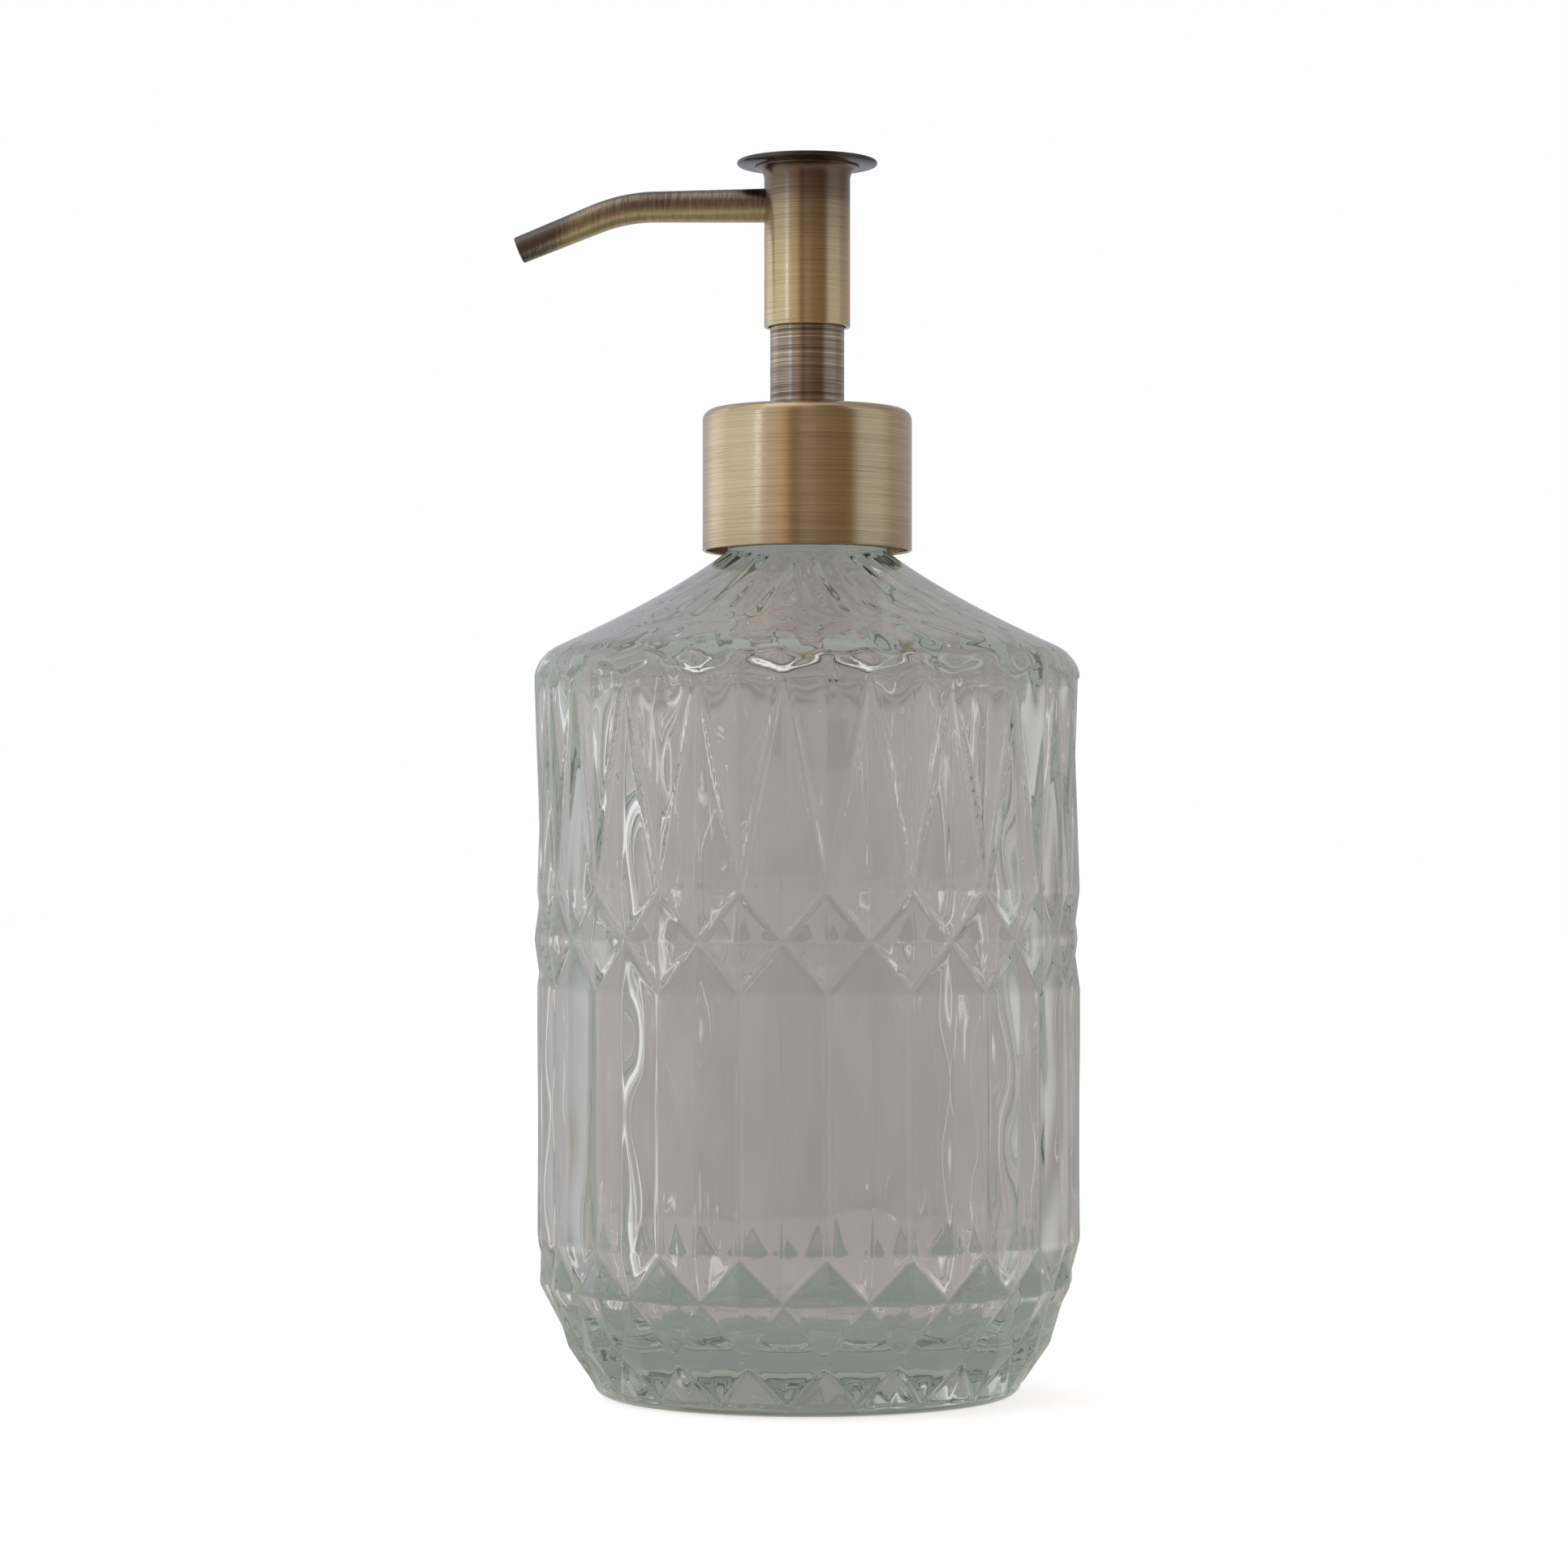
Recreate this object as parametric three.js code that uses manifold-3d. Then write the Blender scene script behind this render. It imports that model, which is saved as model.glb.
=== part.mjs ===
// Soap pump dispenser: a pressed-glass bottle cut in diamonds and flutes, with a metal-clad lotion pump
// screwed on its neck. Millimetres, +Z up, origin at the centre of the flat base, spout towards -X.
import * as THREE from "three";
import { mergeVertices } from "three/addons/utils/BufferGeometryUtils.js";
import Module from "manifold-3d";

const wasm = await Module();
wasm.setup();

// ---------------------------------------------------------------- driving dimensions
// Bottle: the panels of the cut pattern stand out to the full radius, and grooves part them.
const PANELS = 20; // repeats of the cut pattern round the bottle
const BODY_R = 43.4; // radius over the panels
const GROOVE_DEPTH = 1.05;
const FOOT_R = 33.9; // radius at the lowest tips of the pattern
const FLAT_R = 30; // radius of the flat base
const FOOT_HEIGHT = 1.7; // base to the lowest tips
const LOW_DIAMOND = 6.8; // lowest tips to the points above them
const HIGH_DIAMOND = 9.4; // those points to the next ones
const FLUTE_POINT = 7.1; // height of a flute's pointed end
const FLUTE_LENGTH = 39.8; // straight part of a flute
const BAND_HALF = 7.7; // half the height of the band of diamonds
const SPIKE_LENGTH = 33.1; // band to the shoulder
const SHOULDER_RISE = 20.8; // shoulder edge to the foot of the neck
const SHOULDER_SLOPE = 0.46; // rise over run just inside the shoulder's corner
const CORNER_RUN = 4.1; // how far in the shoulder's corner is rounded
const CORNER_RISE = 5.75; // and how far up
const SHOULDER_SAG = 0.65; // share of the slope's run at which it turns up towards the neck
const WALL = 3.6; // glass behind the panels
const FLOOR = 8; // glass under the cavity
const FLOOR_CORNER = 13; // radius of the cavity's bottom corner
const NECK_R = 12.65; // neck under the thread
const NECK_WALL = 2.45;
const NECK_LENGTH = 16.2;
const NECK_FOOT_WALL = 2.35; // inside foot of the neck below its outside foot
const LIP_ROUND = 0.6;

// Screw thread of the neck and the nut.
const THREAD_PITCH = 4.233; // six turns to the inch
const THREAD_HEIGHT = 1.05;
const THREAD_ROOT = 2.1; // width of a ridge where it meets the wall
const THREAD_CREST = 1.1;
const THREAD_SUNK = 0.3; // how deep a ridge is rooted in its wall
const THREAD_TURNS = 1;
const THREAD_DROP = 1.9; // top of the glass down to the middle of the last turn
const THREAD_GAP = 0.25; // radial play between nut and neck

// Closure: plastic nut inside a drawn metal shell, and the metal tube that the head slides on.
const NUT_WALL = 2.12;
const SHELL_WALL = 0.5;
const SHELL_HEIGHT = 22.5;
const SHELL_ROUND = 1.8; // rounded top edge
const SHELL_LIP = 0.45; // thickness of the turned-up lip round the hole
const SHELL_LIP_HEIGHT = 0.7;
const NUT_FIT = 0.08; // play between nut and shell
const NUT_RISE = 4.4; // the shell hangs this far below the nut
const PLATE = 1.7; // top plate of the nut
const GUIDE_R = 5.9;
const GUIDE_WALL = 0.7;
const GUIDE_FLANGE = 3.1; // how far the guide tube's flange stands out
const SHEET = 0.5; // thickness of the guide tube's flange

// Pump body, hung in the neck.
const GASKET = 1.2;
const GASKET_MARGIN = 1.5; // gasket's hole beyond the barrel
const FLANGE = 1.4;
const FLANGE_INSET = 0.35; // flange inside the neck's radius
const BARREL_WALL = 0.8;
const BARREL_LENGTH = 37; // flange to the step that carries the spring
const CHAPLET_SKIRT = 3.4; // chaplet inside the barrel
const CHAPLET_SKIRT_WALL = 0.7;
const CHAPLET_COLLAR = 3; // collar beyond the barrel's bore
const CHAPLET_RIM = 1.3; // flange beyond the collar
const CHAPLET_FLANGE = 0.7;
const CHAPLET_WALL = 0.95;
const CHAPLET_TOP_GAP = 0.8; // chaplet neck below the end of the guide tube
const CAGE = 1.2; // thickness of the ball cage
const CAGE_HOLE_R = 0.8;
const CAGE_HOLE_OFFSET = 1.8; // holes' middles from the axis
const BALL_R = 2.1;
const BALL_ROOM = 0.5; // round the ball
const BALL_LIFT = 1.5;
const SOCKET_DEPTH = 8; // dip tube inside the tail of the barrel
const TAIL_WALL = 0.9;
const INLET_R = 1.3;
const DIP_R = 3;
const DIP_WALL = 0.8;
const DIP_END_GAP = 3; // cavity floor to the lowest point of the dip tube
const DIP_SLANT = 0.7; // slope of the cut end
const VENT_R = 0.5;
const VENT_DROP = 3; // vent below the flange

// Moving column: piston, stem and spring.
const STROKE = 12.2;
const STEM_WALL = 1.4;
const PISTON_WALL = 1.75; // stem to the barrel's bore
const PISTON_LENGTH = 5.4;
const PISTON_LIP = 1.1;
const LIP_DEPTH = 0.3; // how deep the piston's ends are cupped
const PISTON_WAIST = 0.9; // how far the piston is waisted between its lips
const PLUNGER_HEAD = 1;
const PLUNGER_SHANK = 3;
const PORT_R = 0.7;
const WIPER = 1.2; // height of the stem seal
const SPRING_WIRE_R = 0.4;
const SPRING_ROOM = 0.6; // between the spring and the barrel's bore
const SPRING_TURNS = 9;

// Head: metal sleeve over a plastic core, with the spout and the disc that is pressed.
const SLEEVE_PLAY = 0.29; // sleeve round the guide tube
const SLEEVE_WALL = 0.65;
const SLEEVE_LENGTH = 25.5;
const SLEEVE_OVERLAP = 2.8; // sleeve over the guide tube at rest
const FLARE = 1.46; // how far the sleeve's top flares out
const FLARE_HEIGHT = 2.1;
const DISC_OVERHANG = 2.86; // disc beyond the flare
const DISC = 0.95;
const DISC_SPIGOT = 2.2;
const DISC_SPIGOT_WALL = 1.2;
const CORE_HEIGHT = 7.4;
const HUB_WALL = 0.9;
const HUB_PLAY = 0.25; // hub inside the chaplet
const HUB_LENGTH = 9.6;
const SPOUT_RISE = 3.6; // underside of the core to the middle of the spout
const SPOUT_ROOT_R = 2.74;
const SPOUT_TIP_R = 2.15;
const SPOUT_WALL = 0.55;
const LINER_WALL = 0.5;
const SPOUT_START = 3.1; // axis to the inner end of the spout
const SPOUT_BEND_START = 24.3;
const SPOUT_BEND_R = 26;
const SPOUT_BEND_DEG = 21.4;
const SPOUT_END = 13.4; // straight part after the bend
const SEAL = 1; // spout seal, along the spout
const SEAL_HEIGHT = 0.7;

const EDGE = 0.12; // broken edges of the metal
const PAST = 1; // how far a cutter runs beyond what it cuts
const FIT = 0.1; // between pieces pressed or screwed together
const REST = 0.05; // between faces that bear on each other
const RUNNING = 0.15; // between pieces that slide or turn

// ---------------------------------------------------------------- heights that follow
const tipZ = FOOT_HEIGHT;
const lowNodeZ = tipZ + LOW_DIAMOND;
const highNodeZ = lowNodeZ + HIGH_DIAMOND;
const fluteBottomZ = highNodeZ + FLUTE_POINT;
const fluteTopZ = fluteBottomZ + FLUTE_LENGTH;
const bandZ = fluteTopZ + BAND_HALF;
const bandTopZ = bandZ + BAND_HALF;
const spikeTopZ = bandTopZ + SPIKE_LENGTH;
const neckZ = spikeTopZ + SHOULDER_RISE;
const lipZ = neckZ + NECK_LENGTH;

const gasketZ = lipZ + REST;
const flangeZ = gasketZ + GASKET + REST;
const flangeTopZ = flangeZ + FLANGE;
const plateZ = flangeTopZ + REST;
const plateTopZ = plateZ + PLATE;
const chapletFlangeZ = plateTopZ + REST;
const guideFlangeZ = chapletFlangeZ + CHAPLET_FLANGE + REST;
const shellTopZ = guideFlangeZ + SHEET + REST + SHELL_WALL;
const shellZ = shellTopZ - SHELL_HEIGHT;
const shellLipZ = shellTopZ + SHELL_LIP_HEIGHT;
const nutZ = shellZ + NUT_RISE;

const stopGap = 2 * FIT; // sleeve to shell at the end of the stroke
const sleeveZ = shellLipZ + STROKE + stopGap;
const sleeveTopZ = sleeveZ + SLEEVE_LENGTH;
const guideTopZ = sleeveZ + SLEEVE_OVERLAP;
const discZ = sleeveTopZ + REST;
const discTopZ = discZ + DISC;
const coreTopZ = discZ - DISC_SPIGOT - REST;
const coreZ = coreTopZ - CORE_HEIGHT;
const hubZ = coreZ - HUB_LENGTH;
const spoutZ = coreZ + SPOUT_RISE;

const skirtZ = flangeTopZ - CHAPLET_SKIRT;
const chapletTopZ = guideTopZ - CHAPLET_TOP_GAP;
const chapletStepZ = hubZ - STROKE - 4 * RUNNING; // hub clears this step when the head is down
const pistonTopZ = skirtZ - RUNNING;
const pistonZ = pistonTopZ - PISTON_LENGTH;
const stemZ = pistonZ - REST;
const stemTopZ = coreZ + FIT;
const plungerZ = stemZ - REST - PLUNGER_HEAD;
const cageZ = flangeZ - BARREL_LENGTH;
const cageTopZ = cageZ + CAGE;
const springZ = cageTopZ + REST;
const springTopZ = plungerZ - REST;
const ballZ = cageZ - REST - BALL_LIFT - BALL_R;
const coneApexZ = ballZ - REST - BALL_R * Math.SQRT2;
const chamberZ = coneApexZ + BALL_R + BALL_ROOM;
const inletZ = coneApexZ + INLET_R;
const dipTopZ = inletZ - TAIL_WALL - REST;
const tailZ = dipTopZ - SOCKET_DEPTH;
const dipZ = FLOOR + DIP_END_GAP;

// ---------------------------------------------------------------- radii that follow
// From the guide tube out to the disc, and in to the stem, the piston and the barrel.
const sleeveBoreR = GUIDE_R + SLEEVE_PLAY;
const sleeveR = sleeveBoreR + SLEEVE_WALL;
const coreR = sleeveBoreR - FIT;
const flareR = sleeveR + FLARE;
const discR = flareR + DISC_OVERHANG;
const guideFlangeR = GUIDE_R + GUIDE_FLANGE;
const guideBoreR = GUIDE_R - GUIDE_WALL;
const chapletR = guideBoreR - RUNNING;
const chapletBoreR = chapletR - CHAPLET_WALL;
const hubR = chapletBoreR - HUB_PLAY;
const stemR = hubR - HUB_WALL - REST;
const stemBoreR = stemR - STEM_WALL;
const barrelBoreR = stemR + REST + PISTON_WALL;
const barrelR = barrelBoreR + BARREL_WALL;
const skirtR = barrelBoreR - REST;
const springR = barrelBoreR - SPRING_ROOM - SPRING_WIRE_R; // middle of the wire
const collarR = barrelBoreR + CHAPLET_COLLAR;
const chapletFlangeR = collarR + CHAPLET_RIM;
const chamberR = BALL_R + BALL_ROOM;
const tailR = DIP_R + REST + TAIL_WALL;
// From the neck out to the shell.
const neckBoreR = NECK_R - NECK_WALL;
const flangeR = NECK_R - FLANGE_INSET;
const nutBoreR = NECK_R + THREAD_HEIGHT + THREAD_GAP;
const nutR = nutBoreR + NUT_WALL;
const shellBoreR = nutR + NUT_FIT;
const shellR = shellBoreR + SHELL_WALL;

const ROUND = 40; // sides of a turned piece
const SMALL_ROUND = 20;

// ---------------------------------------------------------------- materials
const plastic = (color, roughness = 0.45) =>
  new THREE.MeshStandardMaterial({ color, metalness: 0, roughness });
const glass = new THREE.MeshStandardMaterial({
  color: 0xdfe8e2,
  metalness: 0,
  roughness: 0.05,
  transparent: true,
  opacity: 0.35,
});
const brass = new THREE.MeshStandardMaterial({ color: 0x9a8560, metalness: 1, roughness: 0.32 });
const clear = plastic(0xe4e7e4, 0.3);
const natural = plastic(0xe9e6dd);
const rubber = plastic(0x3a3a3a, 0.8);

const dispenser = new THREE.Group();

/** Adds one named piece. */
function piece(name, geometry, material) {
  const mesh = new THREE.Mesh(geometry, material);
  mesh.name = name;
  dispenser.add(mesh);
}

// ---------------------------------------------------------------- solids
/** Turns a face-indexed geometry the right way out, by the sign of its volume. */
function outward(geometry) {
  const p = geometry.getAttribute("position");
  const index = geometry.index.array;
  const corner = [new THREE.Vector3(), new THREE.Vector3(), new THREE.Vector3()];
  let volume = 0;
  for (let i = 0; i < index.length; i += 3) {
    corner.forEach((c, k) => c.fromBufferAttribute(p, index[i + k]));
    volume += corner[0].dot(corner[1].cross(corner[2]));
  }
  if (volume < 0) {
    for (let i = 0; i < index.length; i += 3) {
      [index[i + 1], index[i + 2]] = [index[i + 2], index[i + 1]];
    }
  }
  return geometry;
}

/** A geometry with shared vertices and only its positions. */
function welded(geometry) {
  const g = geometry.clone();
  g.deleteAttribute("normal");
  g.deleteAttribute("uv");
  return mergeVertices(g, 1e-4);
}

function solidOf(geometry) {
  const g = outward(welded(geometry));
  return new wasm.Manifold(
    new wasm.Mesh({
      numProp: 3,
      vertProperties: new Float32Array(g.getAttribute("position").array),
      triVerts: new Uint32Array(g.index.array),
    }),
  );
}

function geometryOf(solid) {
  const mesh = solid.getMesh();
  const g = new THREE.BufferGeometry();
  g.setAttribute("position", new THREE.BufferAttribute(mesh.vertProperties, 3));
  g.setIndex(new THREE.BufferAttribute(mesh.triVerts, 1));
  g.computeVertexNormals();
  return g;
}

/** first, with the other geometries cut out of it. */
function cut(first, ...others) {
  return geometryOf(others.reduce((left, g) => left.subtract(solidOf(g)), solidOf(first)));
}

/** first, with the other geometries joined to it. */
function join(first, ...others) {
  return geometryOf(others.reduce((left, g) => left.add(solidOf(g)), solidOf(first)));
}

/** A piece turned about +Z from a profile of [radius, height] points. */
function turned(profile, sides = ROUND) {
  const points = profile.map(([r, z]) => new THREE.Vector2(r, z));
  const onAxis = points[0].x === 0 && points[points.length - 1].x === 0;
  if (!onAxis) points.push(points[0].clone());
  return outward(welded(new THREE.LatheGeometry(points, sides).rotateX(Math.PI / 2)));
}

/** A plain ring. */
function ring(innerR, outerR, lowZ, highZ, sides = ROUND) {
  return turned([[innerR, lowZ], [outerR, lowZ], [outerR, highZ], [innerR, highZ]], sides);
}

/** A cylinder along +Z from lowZ to highZ. */
function rod(r, lowZ, highZ, sides = SMALL_ROUND) {
  return new THREE.CylinderGeometry(r, r, highZ - lowZ, sides)
    .rotateX(Math.PI / 2)
    .translate(0, 0, (lowZ + highZ) / 2);
}

/** A cylinder along X between two x values, at height z. */
function crossRod(r, lowX, highX, z, sides = SMALL_ROUND) {
  return new THREE.CylinderGeometry(r, r, highX - lowX, sides)
    .rotateZ(Math.PI / 2)
    .translate((lowX + highX) / 2, 0, z);
}

/** Joins rings of equally many points into a skin, each ring to the next and the last to the first. */
function skin(rings) {
  const n = rings[0].length;
  const index = [];
  rings.forEach((_, i) => {
    const here = i * n;
    const next = ((i + 1) % rings.length) * n;
    for (let j = 0; j < n; j++) {
      const k = (j + 1) % n;
      index.push(here + j, here + k, next + k, here + j, next + k, next + j);
    }
  });
  const g = new THREE.BufferGeometry();
  g.setAttribute("position", new THREE.Float32BufferAttribute(rings.flat(2), 3));
  g.setIndex(index);
  return outward(g);
}

/** Points of a quadratic curve in the [radius, height] plane, without its first point. */
function bend(from, control, to, steps) {
  const v = (p) => new THREE.Vector2(p[0], p[1]);
  const curve = new THREE.QuadraticBezierCurve(v(from), v(control), v(to));
  return curve.getPoints(steps).slice(1).map((p) => [p.x, p.y]);
}

/** Points of a quarter ellipse, turning from one axis of the plane to the other. */
function quarter(centreR, centreZ, rR, rZ, fromDeg, toDeg, steps) {
  return Array.from({ length: steps + 1 }, (_, i) => {
    const a = THREE.MathUtils.degToRad(fromDeg + ((toDeg - fromDeg) * i) / steps);
    return [centreR + rR * Math.cos(a), centreZ + rZ * Math.sin(a)];
  });
}

// ---------------------------------------------------------------- thread
/** A helical ridge about +Z, from rootR to crestR, whose middle starts at startZ at +X. */
function threadRidge(rootR, crestR, startZ) {
  const steps = 36; // round one turn
  const count = Math.round(steps * THREAD_TURNS);
  const runOut = 3; // steps over which an end fades into the wall
  const loops = Array.from({ length: count + 1 }, (_, i) => {
    const turn = i / steps;
    const a = turn * 2 * Math.PI;
    const z = startZ + turn * THREAD_PITCH;
    const full = Math.min(1, (i + 0.5) / runOut, (count - i + 0.5) / runOut);
    const r = rootR + (crestR - rootR) * full;
    const at = (radius, height) => [radius * Math.cos(a), radius * Math.sin(a), height];
    return [
      at(rootR, z - THREAD_ROOT / 2),
      at(r, z - THREAD_CREST / 2),
      at(r, z + THREAD_CREST / 2),
      at(rootR, z + THREAD_ROOT / 2),
    ];
  });
  const index = [];
  for (let i = 0; i < count; i++) {
    for (let j = 0; j < 4; j++) {
      const [a, b] = [i * 4 + j, i * 4 + ((j + 1) % 4)];
      index.push(a, b, b + 4, a, b + 4, a + 4);
    }
  }
  const end = count * 4;
  index.push(0, 2, 1, 0, 3, 2, end, end + 1, end + 2, end, end + 2, end + 3);
  const g = new THREE.BufferGeometry();
  g.setAttribute("position", new THREE.Float32BufferAttribute(loops.flat(2), 3));
  g.setIndex(index);
  return g;
}

const neckThreadTopZ = lipZ - THREAD_DROP;
const neckThreadZ = neckThreadTopZ - THREAD_TURNS * THREAD_PITCH;
const nutThreadZ = neckThreadZ - THREAD_PITCH / 2;

// ---------------------------------------------------------------- bottle
/** Outer radius of the lower body, which swells from the foot to the full radius. */
function swell(z) {
  const t = (z - tipZ) / (fluteBottomZ - tipZ);
  return FOOT_R + (BODY_R - FOOT_R) * t * (2 - t);
}

/** The point that draws the shoulder's slope down, between its corner and the neck. */
function sagBelow([cornerR, cornerZ], footR) {
  const run = (cornerR - footR) * SHOULDER_SAG;
  return [cornerR - run, cornerZ + run * SHOULDER_SLOPE];
}

/**
 * The bottle's rows from the middle of the base, up the outside, over the lip and down the inside.
 * Each row is [height, radius at the even columns, radius at the odd ones, which of the two is low].
 * A groove runs from the low point of one row to the low point of the next.
 */
function bottleRows() {
  const EVEN = 0;
  const ODD = 1;
  const grooved = (z, r, low) =>
    low === EVEN ? [z, r - GROOVE_DEPTH, r, EVEN] : [z, r, r - GROOVE_DEPTH, ODD];
  const plain = ([r, z]) => [z, r, r, null];

  const foot = [[FLAT_R, 0], [(FLAT_R + 2 * FOOT_R) / 3, FOOT_HEIGHT / 3]].map(plain);
  const pattern = [
    [tipZ, FOOT_R, FOOT_R, EVEN],
    grooved(lowNodeZ, swell(lowNodeZ), ODD),
    grooved(highNodeZ, swell(highNodeZ), EVEN),
    grooved(fluteBottomZ, BODY_R, ODD),
    grooved(fluteTopZ, BODY_R, ODD),
    grooved(bandZ, BODY_R, EVEN),
    grooved(bandTopZ, BODY_R, ODD),
    grooved(spikeTopZ, BODY_R, EVEN),
  ];
  const cornerTop = [BODY_R - CORNER_RUN, spikeTopZ + CORNER_RISE];
  const cornerControl = [BODY_R, cornerTop[1] - CORNER_RUN * SHOULDER_SLOPE];
  const corner = bend([BODY_R, spikeTopZ], cornerControl, cornerTop, 4);
  const neckFoot = [NECK_R, neckZ];
  const slope = bend(cornerTop, sagBelow(cornerTop, NECK_R), neckFoot, 6);
  const lip = [
    [NECK_R, lipZ - LIP_ROUND],
    [NECK_R - LIP_ROUND, lipZ],
    [neckBoreR + LIP_ROUND, lipZ],
    [neckBoreR, lipZ - LIP_ROUND],
  ];
  // The inside follows the outside at the wall's thickness, measured square to the shoulder.
  const inR = BODY_R - WALL;
  const square = WALL / Math.hypot(SHOULDER_SLOPE, 1);
  const innerCornerTop = [cornerTop[0] - square * SHOULDER_SLOPE, cornerTop[1] - square];
  const innerControl = [inR, innerCornerTop[1] - (inR - innerCornerTop[0]) * SHOULDER_SLOPE];
  const innerNeck = [neckBoreR, neckZ - NECK_FOOT_WALL];
  const innerSlopeControl = sagBelow(innerCornerTop, neckBoreR);
  const innerSlope = [innerNeck, ...bend(innerNeck, innerSlopeControl, innerCornerTop, 4)];
  const innerEdge = [inR, innerControl[1] - WALL];
  const innerCorner = bend(innerCornerTop, innerControl, innerEdge, 3);
  const floorCorner = quarter(
    inR - FLOOR_CORNER, FLOOR + FLOOR_CORNER, FLOOR_CORNER, FLOOR_CORNER, 0, -90, 5,
  );
  return [
    [0, 0, 0, null],
    ...foot,
    ...pattern,
    ...[...corner, ...slope, ...lip, ...innerSlope, ...innerCorner, ...floorCorner].map(plain),
    [FLOOR, 0, 0, null],
  ];
}

function bottleGeometry() {
  const columns = 2 * PANELS;
  const rows = bottleRows();
  const positions = [];
  rows.forEach(([z, evenR, oddR]) => {
    for (let j = 0; j < columns; j++) {
      const a = (j / columns) * 2 * Math.PI;
      const r = j % 2 ? oddR : evenR;
      positions.push(r * Math.cos(a), r * Math.sin(a), z);
    }
  });
  const isLow = (row, j) => rows[row][3] === j % 2;
  const index = [];
  for (let i = 0; i + 1 < rows.length; i++) {
    for (let j = 0; j < columns; j++) {
      const k = (j + 1) % columns;
      const [a, b] = [i * columns + j, i * columns + k];
      const [d, c] = [a + columns, b + columns];
      if (isLow(i, k) && isLow(i + 1, j)) index.push(a, b, d, b, c, d);
      else index.push(a, b, c, a, c, d);
    }
  }
  const g = new THREE.BufferGeometry();
  g.setAttribute("position", new THREE.Float32BufferAttribute(positions, 3));
  g.setIndex(index);
  return join(g, threadRidge(NECK_R - THREAD_SUNK, NECK_R + THREAD_HEIGHT, neckThreadZ));
}

piece("bottle", bottleGeometry(), glass);

// ---------------------------------------------------------------- closure
function closureNut() {
  const plateBoreR = collarR + RUNNING;
  const chamfer = NUT_WALL / 4;
  const body = turned([
    [nutBoreR, nutZ],
    [nutR, nutZ],
    [nutR, plateTopZ - chamfer],
    [nutR - chamfer, plateTopZ],
    [plateBoreR, plateTopZ],
    [plateBoreR, plateZ],
    [nutBoreR, plateZ],
  ]);
  return join(body, threadRidge(nutBoreR + THREAD_SUNK, NECK_R + THREAD_GAP, nutThreadZ));
}

function capShell() {
  const roundR = shellR - SHELL_ROUND;
  const holeR = GUIDE_R + RUNNING;
  const lipR = holeR + SHELL_LIP;
  const inRound = SHELL_ROUND - SHELL_WALL;
  return turned([
    [shellBoreR, shellZ],
    [shellR - EDGE, shellZ],
    [shellR, shellZ + EDGE],
    ...quarter(roundR, shellTopZ - SHELL_ROUND, SHELL_ROUND, SHELL_ROUND, 0, 90, 3),
    [lipR + SHELL_LIP_HEIGHT, shellTopZ],
    [lipR + EDGE, shellTopZ + SHELL_LIP_HEIGHT / 3],
    [lipR, shellLipZ],
    [holeR, shellLipZ],
    [holeR, shellTopZ - SHELL_WALL],
    ...quarter(roundR, shellTopZ - SHELL_ROUND, inRound, inRound, 90, 0, 3),
  ]);
}

function guideTube() {
  return turned([
    [guideBoreR, guideFlangeZ],
    [guideFlangeR, guideFlangeZ],
    [guideFlangeR, guideFlangeZ + SHEET],
    [GUIDE_R, guideFlangeZ + SHEET],
    [GUIDE_R, guideTopZ - 2 * EDGE],
    [GUIDE_R - 2 * EDGE, guideTopZ],
    [guideBoreR, guideTopZ],
  ]);
}

piece("closure_nut", closureNut(), natural);
piece("cap_shell", capShell(), brass);
piece("guide_tube", guideTube(), brass);

// ---------------------------------------------------------------- pump body
function pumpHousing() {
  const body = turned([
    [barrelBoreR, flangeTopZ],
    [barrelBoreR, cageZ - REST],
    [chamberR, cageZ - REST],
    [chamberR, chamberZ],
    [INLET_R, inletZ],
    [INLET_R, dipTopZ + REST],
    [DIP_R + REST, dipTopZ + REST],
    [DIP_R + REST, tailZ],
    [tailR, tailZ],
    [tailR, ballZ - (barrelR - tailR)],
    [barrelR, ballZ],
    [barrelR, flangeZ],
    [flangeR, flangeZ],
    [flangeR, flangeTopZ],
  ]);
  return cut(body, crossRod(VENT_R, 0, barrelR + PAST, flangeZ - VENT_DROP, 12));
}

function chaplet() {
  const guideBore = stemR + RUNNING;
  return turned([
    [guideBore, skirtZ + WIPER],
    [guideBore, chapletStepZ],
    [chapletBoreR, chapletStepZ],
    [chapletBoreR, chapletTopZ],
    [chapletR, chapletTopZ],
    [chapletR, chapletFlangeZ + CHAPLET_FLANGE],
    [chapletFlangeR, chapletFlangeZ + CHAPLET_FLANGE],
    [chapletFlangeR, chapletFlangeZ],
    [collarR, chapletFlangeZ],
    [collarR, flangeTopZ + REST],
    [skirtR, flangeTopZ + REST],
    [skirtR, skirtZ],
    [skirtR - CHAPLET_SKIRT_WALL, skirtZ],
    [skirtR - CHAPLET_SKIRT_WALL, skirtZ + WIPER],
  ]);
}

function ballCage() {
  const r = barrelBoreR - FIT;
  const plate = turned([[0, cageZ], [r, cageZ], [r, cageTopZ], [0, cageTopZ]]);
  const holes = [0, 1, 2, 3].map((i) =>
    rod(CAGE_HOLE_R, cageZ - PAST, cageTopZ + PAST, 12)
      .translate(CAGE_HOLE_OFFSET, 0, 0)
      .rotateZ((i * Math.PI) / 2),
  );
  return cut(plate, ...holes);
}

function checkBall() {
  return new THREE.SphereGeometry(BALL_R, 16, 10).rotateX(Math.PI / 2).translate(0, 0, ballZ);
}

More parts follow.
